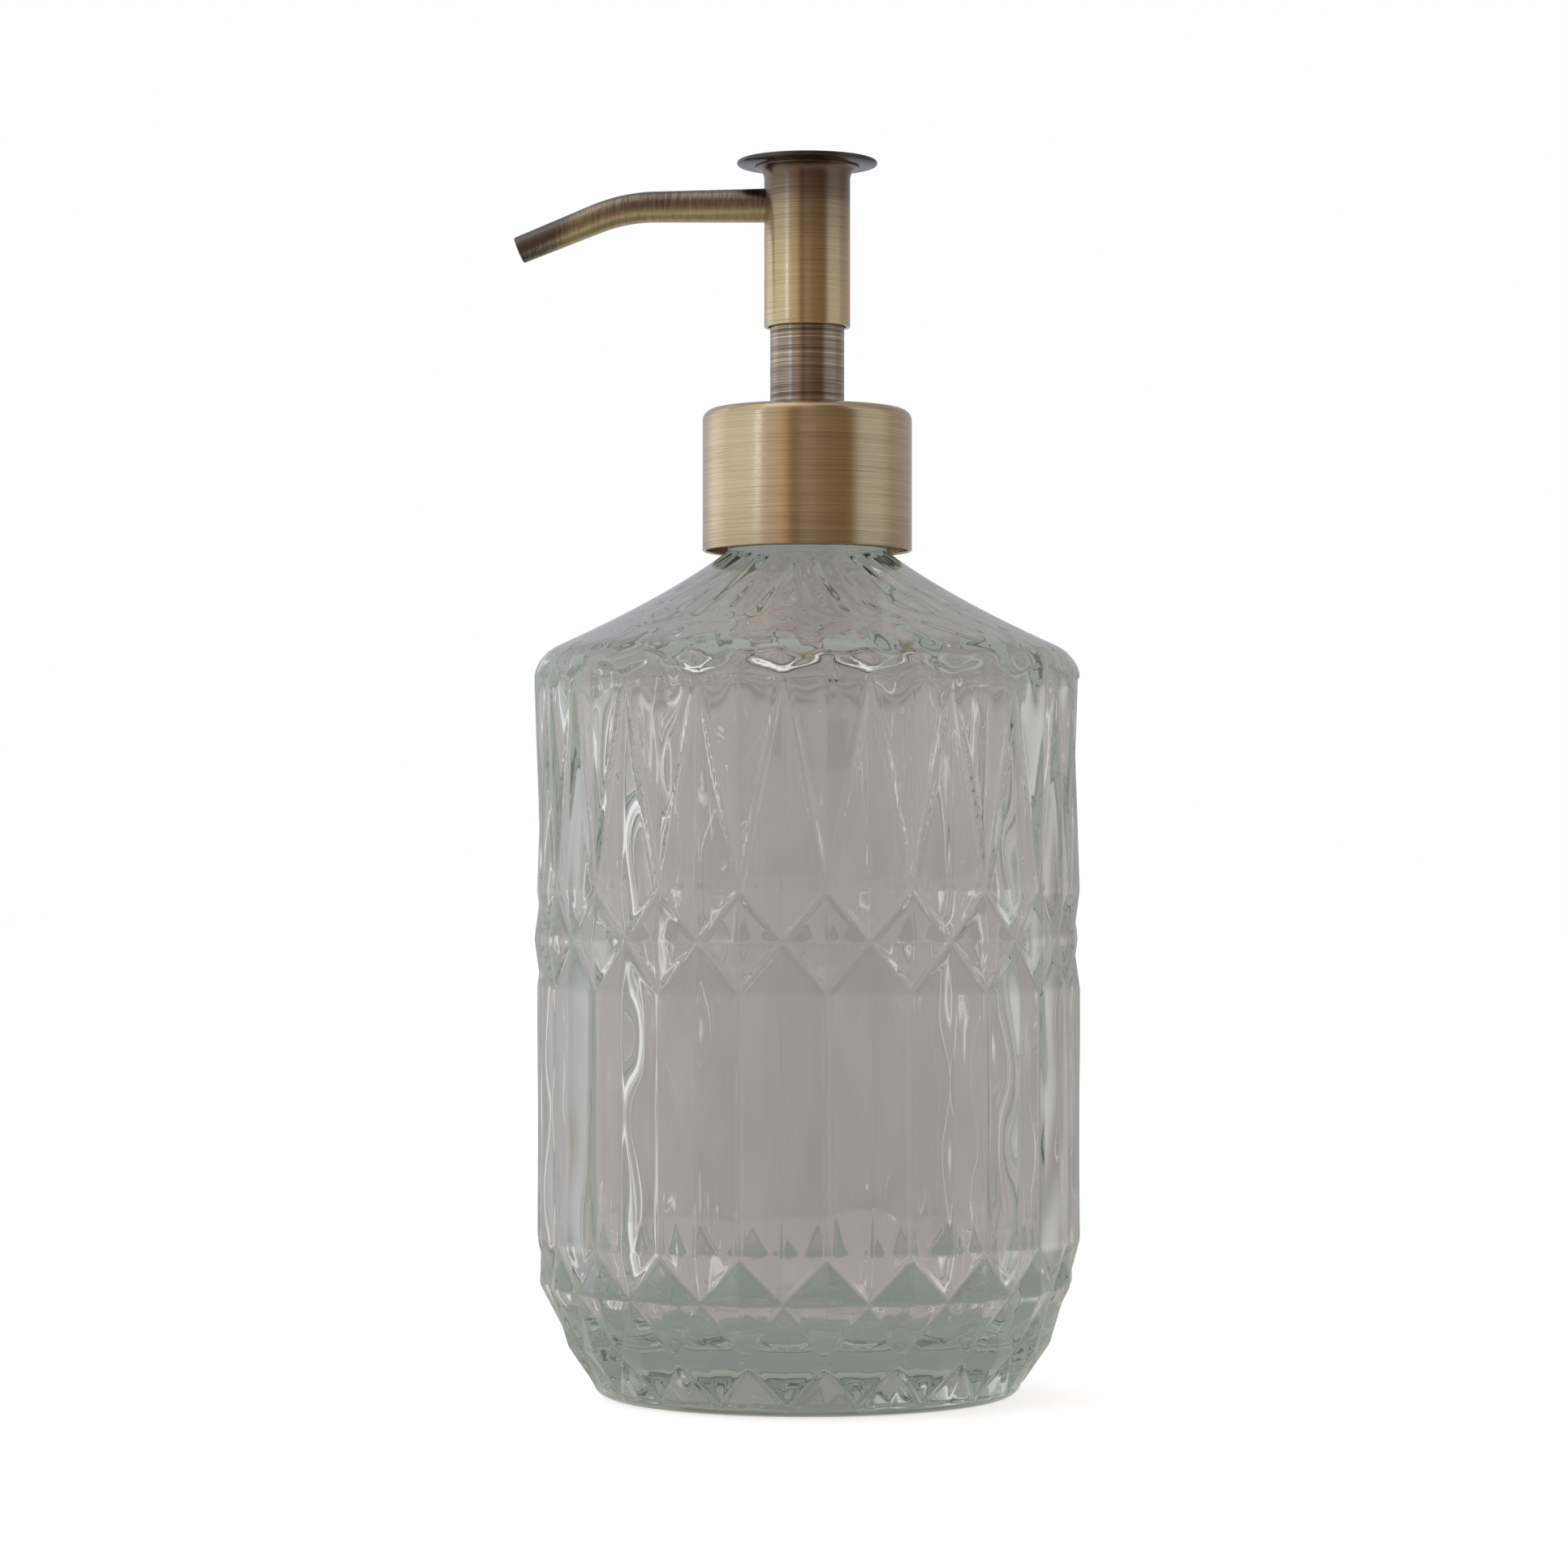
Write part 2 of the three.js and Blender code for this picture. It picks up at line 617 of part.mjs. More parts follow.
/** The dip tube, cut on a slant at its lower end so that it can't seal itself against the floor. */
function dipTube() {
  const circle = (r, zAt) =>
    Array.from({ length: SMALL_ROUND }, (_, i) => {
      const a = (i / SMALL_ROUND) * 2 * Math.PI;
      const x = r * Math.cos(a);
      return [x, r * Math.sin(a), zAt(x)];
    });
  const slanted = (x) => dipZ + (x + DIP_R) * DIP_SLANT;
  const flat = () => dipTopZ;
  const boreR = DIP_R - DIP_WALL;
  return skin([
    circle(DIP_R, flat),
    circle(DIP_R, slanted),
    circle(boreR, slanted),
    circle(boreR, flat),
  ]);
}

piece("neck_gasket", ring(barrelR + GASKET_MARGIN, flangeR, gasketZ, gasketZ + GASKET), rubber);
piece("pump_housing", pumpHousing(), clear);
piece("chaplet", chaplet(), natural);
piece("ball_cage", ballCage(), clear);
piece("check_ball", checkBall(), clear);
piece("dip_tube", dipTube(), clear);

// ---------------------------------------------------------------- moving column
/** The middle line of the return spring, with its end turns closed up. */
class SpringLine extends THREE.Curve {
  getPoint(t, target = new THREE.Vector3()) {
    const endTurns = 1; // turns at each end that all but touch the next
    const low = springZ + SPRING_WIRE_R;
    const high = springTopZ - SPRING_WIRE_R;
    const endRise = endTurns * (2 * SPRING_WIRE_R + FIT);
    const turn = t * SPRING_TURNS;
    const middle = (turn - endTurns) / (SPRING_TURNS - 2 * endTurns);
    let z = low + endRise + middle * (high - low - 2 * endRise);
    if (turn < endTurns) z = low + (turn / endTurns) * endRise;
    if (turn > SPRING_TURNS - endTurns) z = high - ((SPRING_TURNS - turn) / endTurns) * endRise;
    const a = turn * 2 * Math.PI;
    return target.set(springR * Math.cos(a), springR * Math.sin(a), z);
  }
}

function returnSpring() {
  const wire = new THREE.Shape();
  const sides = 5;
  Array.from({ length: sides }, (_, i) => (i / sides) * 2 * Math.PI).forEach((a, i) => {
    const [x, y] = [SPRING_WIRE_R * Math.cos(a), SPRING_WIRE_R * Math.sin(a)];
    if (i) wire.lineTo(x, y);
    else wire.moveTo(x, y);
  });
  const stepsPerTurn = 12;
  const steps = SPRING_TURNS * stepsPerTurn;
  return welded(new THREE.ExtrudeGeometry(wire, { extrudePath: new SpringLine(), steps }));
}

function pistonSeal() {
  const bore = stemR + REST;
  const lip = skirtR;
  const hollow = lip - 2 * LIP_DEPTH; // where the cupped end starts to rise to its lip
  const waist = lip - PISTON_WAIST;
  const neck = PISTON_LIP + PISTON_WAIST / 2;
  return turned(
    [
      [bore, pistonZ],
      [hollow, pistonZ + LIP_DEPTH],
      [lip, pistonZ],
      [lip, pistonZ + PISTON_LIP],
      [waist, pistonZ + neck],
      [waist, pistonTopZ - neck],
      [lip, pistonTopZ - PISTON_LIP],
      [lip, pistonTopZ],
      [hollow, pistonTopZ - LIP_DEPTH],
      [bore, pistonTopZ],
    ],
    SMALL_ROUND,
  );
}

function pistonStem() {
  const body = ring(stemBoreR, stemR, stemZ, stemTopZ, SMALL_ROUND);
  const portZ = plungerZ + PLUNGER_HEAD + PLUNGER_SHANK + 2 * PORT_R;
  return cut(body, crossRod(PORT_R, -stemR - PAST, stemR + PAST, portZ, 12));
}

function stemPlunger() {
  const top = plungerZ + PLUNGER_HEAD;
  return turned(
    [
      [0, plungerZ],
      [springR + SPRING_WIRE_R, plungerZ],
      [springR + SPRING_WIRE_R, top],
      [stemBoreR - REST, top],
      [stemBoreR - REST, top + PLUNGER_SHANK],
      [0, top + PLUNGER_SHANK],
    ],
    SMALL_ROUND,
  );
}

const wiperR = skirtR - CHAPLET_SKIRT_WALL - REST;

piece("return_spring", returnSpring(), clear);
piece("piston", pistonSeal(), natural);
piece("piston_stem", pistonStem(), natural);
piece("stem_plunger", stemPlunger(), natural);
piece("stem_wiper", ring(stemR + REST, wiperR, skirtZ + REST, skirtZ + WIPER - REST, SMALL_ROUND), rubber);

// ---------------------------------------------------------------- head
const linerRoot = SPOUT_ROOT_R - SPOUT_WALL - REST;
const linerTip = SPOUT_TIP_R - SPOUT_WALL - REST;
const sealR = SPOUT_ROOT_R + REST + SEAL_HEIGHT;
const sealX = -Math.sqrt(coreR ** 2 - sealR ** 2) + REST; // the seal's outer face stays inside the core

function headSleeve() {
  const flareZ = sleeveTopZ - FLARE_HEIGHT;
  const rimZ = sleeveTopZ - 2 * EDGE;
  const body = turned([
    [sleeveBoreR, sleeveZ],
    [sleeveR - EDGE, sleeveZ],
    [sleeveR, sleeveZ + EDGE],
    [sleeveR, flareZ],
    ...bend([sleeveR, flareZ], [sleeveR, rimZ - EDGE], [flareR, rimZ], 4),
    [flareR, sleeveTopZ],
    [flareR - SLEEVE_WALL, sleeveTopZ],
    [sleeveBoreR, flareZ + FLARE_HEIGHT / 2],
  ]);
  return cut(body, crossRod(SPOUT_ROOT_R + REST, -sleeveR - PAST, 0, spoutZ));
}

function headCore() {
  const stemSocketR = stemR + REST;
  const body = turned([
    [0, coreTopZ],
    [coreR, coreTopZ],
    [coreR, coreZ],
    [hubR, coreZ],
    [hubR, hubZ],
    [stemSocketR, hubZ],
    [stemSocketR, stemTopZ + REST],
    [0, stemTopZ + REST],
  ]);
  const channel = rod(stemBoreR, coreZ - PAST, spoutZ);
  const gallery = crossRod(linerRoot - LINER_WALL, -SPOUT_START - PAST, stemBoreR, spoutZ);
  const spoutSocket = crossRod(SPOUT_ROOT_R + REST, -sleeveR, -SPOUT_START + REST, spoutZ);
  const sealSeat = crossRod(sealR + REST, -sleeveR, sealX + SEAL + REST, spoutZ);
  return cut(body, channel, gallery, spoutSocket, sealSeat);
}

function pressDisc() {
  const rim = DISC / 2;
  return turned([
    [0, discTopZ],
    ...quarter(discR - rim, discZ + rim, rim, rim, 90, -90, 6),
    [coreR, discZ],
    [coreR, discZ - DISC_SPIGOT],
    [coreR - DISC_SPIGOT_WALL, discZ - DISC_SPIGOT],
    [coreR - DISC_SPIGOT_WALL, discZ],
    [0, discZ],
  ]);
}

/** Places along the spout's middle line: point, direction and the share of the length so far. */
function spoutStations() {
  const bendRad = THREE.MathUtils.degToRad(SPOUT_BEND_DEG);
  const straight = SPOUT_BEND_START - SPOUT_START;
  const arc = SPOUT_BEND_R * bendRad;
  const total = straight + arc + SPOUT_END;
  const at = (s) => {
    const inArc = THREE.MathUtils.clamp((s - straight) / SPOUT_BEND_R, 0, bendRad);
    const past = Math.max(0, s - straight - arc);
    const run = Math.min(s, straight) + SPOUT_BEND_R * Math.sin(inArc) + past * Math.cos(bendRad);
    const fall = SPOUT_BEND_R * (1 - Math.cos(inArc)) + past * Math.sin(bendRad);
    return { x: -SPOUT_START - run, z: spoutZ - fall, tilt: inArc, share: s / total };
  };
  const arcSteps = 5;
  const inBend = Array.from({ length: arcSteps }, (_, i) => straight + (arc * i) / arcSteps);
  return [0, straight / 2, ...inBend, straight + arc, total].map(at);
}

/** A tube along the spout whose outer and inner radii taper from root to tip. */
function spoutTube(rootOuter, tipOuter, wall, sides = SMALL_ROUND) {
  const circle = (s, r) =>
    Array.from({ length: sides }, (_, i) => {
      const a = (i / sides) * 2 * Math.PI;
      const up = r * Math.cos(a);
      return [s.x - up * Math.sin(s.tilt), r * Math.sin(a), s.z + up * Math.cos(s.tilt)];
    });
  const outerAt = (s) => rootOuter + (tipOuter - rootOuter) * s.share;
  const stations = spoutStations();
  const outside = stations.map((s) => circle(s, outerAt(s)));
  const inside = stations.map((s) => circle(s, outerAt(s) - wall));
  return skin([...outside, ...inside.reverse()]);
}

function spoutSeal() {
  return ring(SPOUT_ROOT_R + REST, sealR, 0, SEAL, SMALL_ROUND)
    .rotateY(Math.PI / 2)
    .translate(sealX, 0, spoutZ);
}

piece("head_sleeve", headSleeve(), brass);
piece("head_core", headCore(), natural);
piece("press_disc", pressDisc(), brass);
piece("spout", spoutTube(SPOUT_ROOT_R, SPOUT_TIP_R, SPOUT_WALL), brass);
piece("spout_liner", spoutTube(linerRoot, linerTip, LINER_WALL, 16), natural);
piece("spout_seal", spoutSeal(), rubber);

export default dispenser;
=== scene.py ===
"""Looks of the soap pump dispenser: pressed glass, aged brushed brass and faint clear plastics."""

import math

import bpy
import numpy as np
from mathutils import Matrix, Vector


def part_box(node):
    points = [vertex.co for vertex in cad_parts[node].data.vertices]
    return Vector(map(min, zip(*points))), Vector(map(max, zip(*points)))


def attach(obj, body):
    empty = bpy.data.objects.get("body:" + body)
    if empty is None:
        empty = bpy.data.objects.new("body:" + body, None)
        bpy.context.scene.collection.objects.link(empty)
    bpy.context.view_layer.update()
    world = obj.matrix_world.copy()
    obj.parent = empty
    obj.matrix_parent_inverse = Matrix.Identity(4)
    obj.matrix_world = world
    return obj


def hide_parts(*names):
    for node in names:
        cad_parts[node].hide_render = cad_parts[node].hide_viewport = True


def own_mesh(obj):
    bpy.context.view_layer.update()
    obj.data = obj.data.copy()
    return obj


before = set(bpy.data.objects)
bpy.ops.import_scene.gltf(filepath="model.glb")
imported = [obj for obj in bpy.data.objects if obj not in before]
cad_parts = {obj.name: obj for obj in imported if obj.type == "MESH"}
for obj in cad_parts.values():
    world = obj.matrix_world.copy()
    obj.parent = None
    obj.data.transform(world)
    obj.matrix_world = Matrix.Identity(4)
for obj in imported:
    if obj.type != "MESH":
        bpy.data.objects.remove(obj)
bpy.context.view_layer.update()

MM = 0.001

# ---------------------------------------------------------------- sizes
# What the CAD nodes say.
BOTTLE_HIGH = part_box("bottle")[1]
BODY_R = BOTTLE_HIGH[0]
LIP_Z = BOTTLE_HIGH[2]
SHELL_LOW, SHELL_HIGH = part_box("cap_shell")
GUIDE_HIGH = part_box("guide_tube")[1]
SLEEVE_LOW, SLEEVE_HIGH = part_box("head_sleeve")
DISC_LOW, DISC_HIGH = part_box("press_disc")
SPOUT_LOW, SPOUT_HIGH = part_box("spout")

# The cut pattern of the glass.
PANELS = 20
HALF_PANEL = math.pi / PANELS
GROOVE_DEPTH = 1.05 * MM
FOOT_R = 33.9 * MM
FLAT_R = 30 * MM
PUSH_UP_R = 24 * MM
PUSH_UP = 0.7 * MM  # of the middle of the underside
TIP_Z = 1.7 * MM
LOW_POINT_Z = TIP_Z + 6.8 * MM
HIGH_POINT_Z = LOW_POINT_Z + 9.4 * MM
FLUTE_LOW_Z = HIGH_POINT_Z + 7.1 * MM
FLUTE_HIGH_Z = FLUTE_LOW_Z + 39.8 * MM
BAND_Z = FLUTE_HIGH_Z + 7.7 * MM
BAND_HIGH_Z = BAND_Z + 7.7 * MM
SPIKE_Z = BAND_HIGH_Z + 33.1 * MM
SCALLOP = 1.7 * MM  # height of the scalloped upper edge
NECK_Z = SPIKE_Z + 20.8 * MM
CORNER_RUN = 4.1 * MM
CORNER_RISE = 5.75 * MM
SHOULDER_SLOPE = 0.46
SHOULDER_SAG = 0.65  # share of the run at which the slope turns up towards the neck
NECK_FOOT_WALL = 2.35 * MM
WALL = 3.6 * MM
FLOOR_Z = 8 * MM
FLOOR_CORNER = 13 * MM
NECK_R = 12.65 * MM
NECK_BORE_R = 10.2 * MM
LIP_ROUND = 0.6 * MM
THREAD_PITCH = 4.233 * MM
THREAD_HEIGHT = 1.05 * MM
THREAD_ROOT = 2.1 * MM
THREAD_CREST = 1.1 * MM
THREAD_DROP = 1.9 * MM
THREAD_RUN_OUT = 1 / 12  # share of a turn over which either end of the thread fades out
EDGE_SOFTNESS = 0.3 * MM  # how far fire polishing has rounded the edges of the cuts
LINE_DEPTH = 0.24 * MM  # of the fine line cut along every groove
LINE_WIDTH = 0.42 * MM
SAG = 0.05 * MM  # of the outer skin, where the glass has drawn in unevenly
WAVINESS = 0.14 * MM  # of the cavity's wall
SHOULDER_WAVINESS = 0.27 * MM

# The pump.
SPRING_WIRE_R = 0.4 * MM
SPRING_TURNS = 9

# The set.
BACK_WALL = (0.358, 0.328, 0.312)  # the colour behind the bottle, as seen through the glass

CAMERA_AZIMUTH = math.radians(5)
CAMERA_DISTANCE = 0.7226
CAMERA_HEIGHT = 0.0824


# ---------------------------------------------------------------- mesh helpers
def mesh_object(name, verts, faces, material, smooth=True, triangles=()):
    """A mesh object made of the given vertices, four-sided faces and triangles."""
    quads = np.array(faces, dtype=np.int32).reshape(-1, 4)
    threes = np.array(triangles, dtype=np.int32).reshape(-1, 3)
    starts = np.concatenate([4 * np.arange(len(quads)), quads.size + 3 * np.arange(len(threes))])
    mesh = bpy.data.meshes.new(name)
    mesh.vertices.add(len(verts))
    mesh.vertices.foreach_set("co", np.asarray(verts, dtype=np.float32).ravel())
    mesh.loops.add(quads.size + threes.size)
    mesh.loops.foreach_set("vertex_index", np.concatenate([quads.ravel(), threes.ravel()]))
    mesh.polygons.add(len(starts))
    mesh.polygons.foreach_set("loop_start", starts.astype(np.int32))
    mesh.update(calc_edges=True)
    mesh.polygons.foreach_set("use_smooth", [smooth] * len(starts))
    mesh.materials.append(material)
    obj = bpy.data.objects.new(name, mesh)
    bpy.context.scene.collection.objects.link(obj)
    return obj


def grid_faces(rows, columns, close_rows=False):
    """Quads of a grid whose columns wrap round, and whose rows may too."""
    i = np.arange(rows if close_rows else rows - 1)[:, None]
    j = np.arange(columns)[None, :]
    k = (j + 1) % columns
    n = (i + 1) % rows
    quads = np.stack([i * columns + j, i * columns + k, n * columns + k, n * columns + j], axis=-1)
    return quads.reshape(-1, 4)


def capped(verts, rows, columns, first_point, last_point):
    """The vertices with a middle point at each end of the grid, and the fans that close it."""
    first, last = len(verts), len(verts) + 1
    verts = np.vstack([verts, first_point, last_point])
    j = np.arange(columns)
    k = (j + 1) % columns
    end = (rows - 1) * columns
    first_fan = np.stack([np.full(columns, first), k, j], axis=-1)
    last_fan = np.stack([np.full(columns, last), end + j, end + k], axis=-1)
    return verts, np.concatenate([first_fan, last_fan])


def bezier(start, control, end, steps):
    """Points of a quadratic curve, without its first."""
    t = np.linspace(0, 1, steps + 1)[1:, None]
    start, control, end = map(np.array, (start, control, end))
    return list((1 - t) ** 2 * start + 2 * t * (1 - t) * control + t**2 * end)


def arc(centre, radius, from_deg, to_deg, steps):
    """Points of a circular arc in the (radius, height) plane."""
    angles = np.radians(np.linspace(from_deg, to_deg, steps + 1))
    return [(centre[0] + radius * math.cos(a), centre[1] + radius * math.sin(a)) for a in angles]


def round_angles(count):
    """That many angles evenly round a circle."""
    return np.arange(count) * 2 * math.pi / count


def ring_points(angle, radius, height):
    """Points round the axis; radius and height are one number or one for each angle."""
    height = np.broadcast_to(height, angle.shape)
    return np.stack([radius * np.cos(angle), radius * np.sin(angle), height], axis=-1)


def turned(name, profile, material, sides):
    """A closed ring or solid of revolution about the bottle's axis.

    The profile is in the (radius, height) plane, and closes on itself or starts and ends on the axis.
    """
    points = np.array(profile)
    on_axis = points[0][0] < 1e-9 and points[-1][0] < 1e-9
    body = points[1:-1] if on_axis else points
    angle = round_angles(sides)
    verts = np.concatenate([ring_points(angle, r, z) for r, z in body])
    faces = grid_faces(len(body), sides, close_rows=not on_axis)
    triangles = ()
    if on_axis:
        ends = [(0, 0, points[0][1]), (0, 0, points[-1][1])]
        verts, triangles = capped(verts, len(body), sides, *ends)
    obj = mesh_object(name, verts, faces, material, triangles=triangles)
    face_out(obj)
    sharpen(obj, 38)
    return obj


def face_out(obj):
    """Turns a closed mesh's faces outwards."""
    bpy.context.view_layer.objects.active = obj
    obj.select_set(True)
    bpy.ops.object.mode_set(mode="EDIT")
    bpy.ops.mesh.select_all(action="SELECT")
    bpy.ops.mesh.normals_make_consistent(inside=False)
    bpy.ops.object.mode_set(mode="OBJECT")
    obj.select_set(False)


def sharpen(obj, degrees):
    """Keeps edges steeper than this angle crisp under smooth shading."""
    obj.data.set_sharp_from_angle(angle=math.radians(degrees))


# ---------------------------------------------------------------- node helpers
def new_material(name):
    """A material with its Principled shader, and its node tree."""
    material = bpy.data.materials.new(name)
    material.use_nodes = True
    tree = material.node_tree
    return material, tree, tree.nodes["Principled BSDF"]


def add(tree, kind, **settings):
    """A node of that kind, with attributes and, by socket name, input values."""
    node = tree.nodes.new(kind)
    for key, value in settings.items():
        if hasattr(node, key):
            setattr(node, key, value)
        else:
            node.inputs[key.replace("_", " ")].default_value = value
    return node


def ramp(tree, factor, stops, interpolation="LINEAR"):
    """A colour ramp over factor; stops are (position, colour or grey)."""
    node = tree.nodes.new("ShaderNodeValToRGB")
    node.color_ramp.interpolation = interpolation
    elements = node.color_ramp.elements
    while len(elements) < len(stops):
        elements.new(0.5)
    for element, (position, value) in zip(elements, stops):
        element.position = position
        rgb = (value,) * 3 if isinstance(value, (int, float)) else value
        element.color = (*rgb, 1)
    tree.links.new(factor, node.inputs[0])
    return node.outputs[0]


def math_node(tree, operation, a, b=0.0, c=0.0):
    """The result of a Math node; a, b and c are numbers or sockets."""
    node = tree.nodes.new("ShaderNodeMath")
    node.operation = operation
    for socket, value in zip(node.inputs, (a, b, c)):
        if isinstance(value, (int, float)):
            socket.default_value = value
        else:
            tree.links.new(value, socket)
    return node.outputs[0]


def summed(tree, *values):
    """The sum of numbers or sockets."""
    total = values[0]
    for value in values[1:]:
        total = math_node(tree, "ADD", total, value)
    return total


def times(tree, a, b):
    """The product of numbers or sockets."""
    return math_node(tree, "MULTIPLY", a, b)


def centred(tree, value, strength):
    """A pattern of 0 to 1 moved to lie about 0, times strength."""
    return times(tree, math_node(tree, "SUBTRACT", value, 0.5), strength)


def clamped(tree, value):
    """The value, held between 0 and 1."""
    node = tree.nodes.new("ShaderNodeClamp")
    tree.links.new(value, node.inputs[0])
    return node.outputs[0]


def from_minus_one(tree, value):
    """A value of -1 to 1 brought to 0 to 1."""
    return math_node(tree, "MULTIPLY_ADD", value, 0.5, 0.5)


def mix_colour(tree, factor, a, b, blend="MIX"):
    """A mix of two colours; factor, a and b are values or sockets."""
    node = tree.nodes.new("ShaderNodeMix")
    node.data_type = "RGBA"
    node.blend_type = blend
    for socket, value in ((node.inputs[0], factor), (node.inputs[6], a), (node.inputs[7], b)):
        if isinstance(value, (int, float)):
            socket.default_value = value
        elif isinstance(value, tuple):
            socket.default_value = (*value, 1)
        else:
            tree.links.new(value, socket)
    return node.outputs[2]


def noise(tree, vector, scale, detail=3.0, roughness=0.5):
    """Noise of 0 to 1; scale is in waves to a metre, where the vector is a place."""
    node = add(tree, "ShaderNodeTexNoise", Scale=scale, Detail=detail, Roughness=roughness)
    tree.links.new(vector, node.inputs["Vector"])
    return node.outputs["Fac"]


def bump(tree, shader, height, distance, strength):
    """Unevenness too fine for the mesh, that deep in metres."""
    node = add(tree, "ShaderNodeBump", Strength=strength, Distance=distance)
    tree.links.new(height, node.inputs["Height"])
    tree.links.new(node.outputs[0], shader.inputs["Normal"])


def object_position(tree):
    """Where a point of the surface is in its object's own frame, in metres."""
    return tree.nodes.new("ShaderNodeTexCoord").outputs["Object"]


def parts(tree, vector):
    """The x, y and z of a vector."""
    node = tree.nodes.new("ShaderNodeSeparateXYZ")
    tree.links.new(vector, node.inputs[0])
    return node.outputs


def stretched(tree, vector, scale, rotation=(0, 0, 0)):
    """The vector turned and scaled."""
    node = tree.nodes.new("ShaderNodeMapping")
    node.inputs["Rotation"].default_value = rotation
    node.inputs["Scale"].default_value = scale
    tree.links.new(vector, node.inputs[0])
    return node.outputs[0]


def turned_coordinates(tree):
    """(angle about the axis, radius, height) of a point, so that marks run round a turned piece."""
    x, y, z = parts(tree, object_position(tree))
    angle = math_node(tree, "ARCTAN2", y, x)
    radius = math_node(tree, "SQRT", summed(tree, times(tree, x, x), times(tree, y, y)))
    return angle, radius, z


def combine(tree, x, y, z):
    """A vector of three numbers or sockets."""
    node = tree.nodes.new("ShaderNodeCombineXYZ")
    for socket, value in zip(node.inputs, (x, y, z)):
        if isinstance(value, (int, float)):
            socket.default_value = value
        else:
            tree.links.new(value, socket)
    return node.outputs[0]


# ---------------------------------------------------------------- materials
def glass_material():
    """Clear soda glass: faintly green through its thickness, with a softly uneven pressed skin."""
    material, tree, shader = new_material("bottle_glass")
    shader.inputs["Roughness"].default_value = 0.0
    shader.inputs["IOR"].default_value = 1.5
    shader.inputs["Transmission Weight"].default_value = 1.0
    position = object_position(tree)
    waves = noise(tree, stretched(tree, position, (1, 1, 0.45)), 130, 2)
    fine = noise(tree, position, 900, 2)
    bump(tree, shader, summed(tree, waves, times(tree, fine, 0.02)), 0.1 * MM, 0.4)
    # Painted glow: rays that have gone round inside the glass for long stop there, and the glass gives them
    # a dim even green emission in place of the light they would have brought.
    path = tree.nodes.new("ShaderNodeLightPath")
    deep = math_node(tree, "GREATER_THAN", path.outputs["Ray Depth"], 6.5)
    mirrored = math_node(tree, "GREATER_THAN", path.outputs["Glossy Depth"], 2.5)
    late = math_node(tree, "MAXIMUM", deep, mirrored)
    colour = mix_colour(tree, late, (1.0, 1.0, 1.0), (0.0, 0.0, 0.0))
    tree.links.new(colour, shader.inputs["Base Color"])
    shader.inputs["Emission Color"].default_value = (0.112, 0.115, 0.105, 1)
    tree.links.new(late, shader.inputs["Emission Strength"])
    absorb = add(tree, "ShaderNodeVolumeAbsorption")
    absorb.inputs["Color"].default_value = (0.45, 0.62, 0.54, 1)
    absorb.inputs["Density"].default_value = 8
    tree.links.new(absorb.outputs[0], tree.nodes["Material Output"].inputs["Volume"])
    return material


def scratch_lines(tree, along, across, length, width, low, high):
    """Long thin marks that run along one coordinate: 1 on a mark, 0 off it.

    Marks are about that long and wide, and more of the surface is marked the lower low and high are.
    """
    place = combine(tree, times(tree, along, 1 / length), times(tree, across, 1 / width), 0.0)
    return ramp(tree, noise(tree, place, 1.0, 2, 0.55), [(low, 0.0), (high, 1.0)])


def brush(tree, shader, heights, spread):
    """Gives a metal the drawn-out sheen of brushing round its axis."""
    tangent = add(tree, "ShaderNodeTangent", direction_type="RADIAL", axis="Z")
    tree.links.new(tangent.outputs[0], shader.inputs["Tangent"])
    shader.inputs["Metallic"].default_value = 1.0
    shader.inputs["Anisotropic"].default_value = spread
    shader.inputs["Anisotropic Rotation"].default_value = 0.25
    bump(tree, shader, heights, 0.02 * MM, 0.35)


def brass_material(name, light, dark, tarnish_and_shade_stops, low_z, high_z, lines, rings):
    """Antique brass brushed round the axis, from light where it is worn to dark where it has tarnished and,
    where the stops say so, in painted shade.

    tarnish_and_shade_stops give darkness against height from low_z to high_z: tarnish, and on the sleeve
    painted shade under the disc.
    lines and rings are the strengths of the fine brush lines and of the broad rings that turning has left.
    """
    material, tree, shader = new_material(name)
    angle, radius, z = turned_coordinates(tree)
    around = times(tree, angle, radius)
    fine = scratch_lines(tree, around, z, 35 * MM, 0.12 * MM, 0.36, 0.64)
    broad = scratch_lines(tree, around, z, 60 * MM, 0.6 * MM, 0.38, 0.62)
    elsewhere = summed(tree, z, 1.7)  # far enough off that scratches and fine lines don't coincide
    scratches = scratch_lines(tree, around, elsewhere, 12 * MM, 0.12 * MM, 0.6, 0.68)
    # Darkness by height: tarnish, and on the sleeve painted shade under the disc.
    height = math_node(tree, "DIVIDE", math_node(tree, "SUBTRACT", z, low_z), high_z - low_z)
    tarnish_and_shade = ramp(tree, height, tarnish_and_shade_stops, "EASE")
    cloud = noise(tree, combine(tree, angle, 0.0, times(tree, z, 60)), 1.3, 3)
    darkness = clamped(tree, summed(
        tree,
        tarnish_and_shade,
        centred(tree, cloud, 0.4),
        centred(tree, fine, lines),
        centred(tree, broad, rings),
        times(tree, scratches, 0.5),
    ))
    tree.links.new(mix_colour(tree, darkness, light, dark), shader.inputs["Base Color"])
    tree.links.new(summed(tree, 0.17, times(tree, darkness, 0.1)), shader.inputs["Roughness"])
    brush(tree, shader, fine, 0.85)
    return material


def dark_metal_material():
    """The disc: brass darkened almost to gunmetal and brushed in circles."""
    material, tree, shader = new_material("dark_brass")
    angle, radius, z = turned_coordinates(tree)
    outward = summed(tree, radius, z)
    rings = scratch_lines(tree, times(tree, angle, radius), outward, 20 * MM, 0.25 * MM, 0.35, 0.7)
    colour = mix_colour(tree, rings, (0.06, 0.055, 0.051), (0.105, 0.096, 0.088))
    tree.links.new(colour, shader.inputs["Base Color"])
    shader.inputs["Roughness"].default_value = 0.26
    brush(tree, shader, rings, 0.5)
    return material


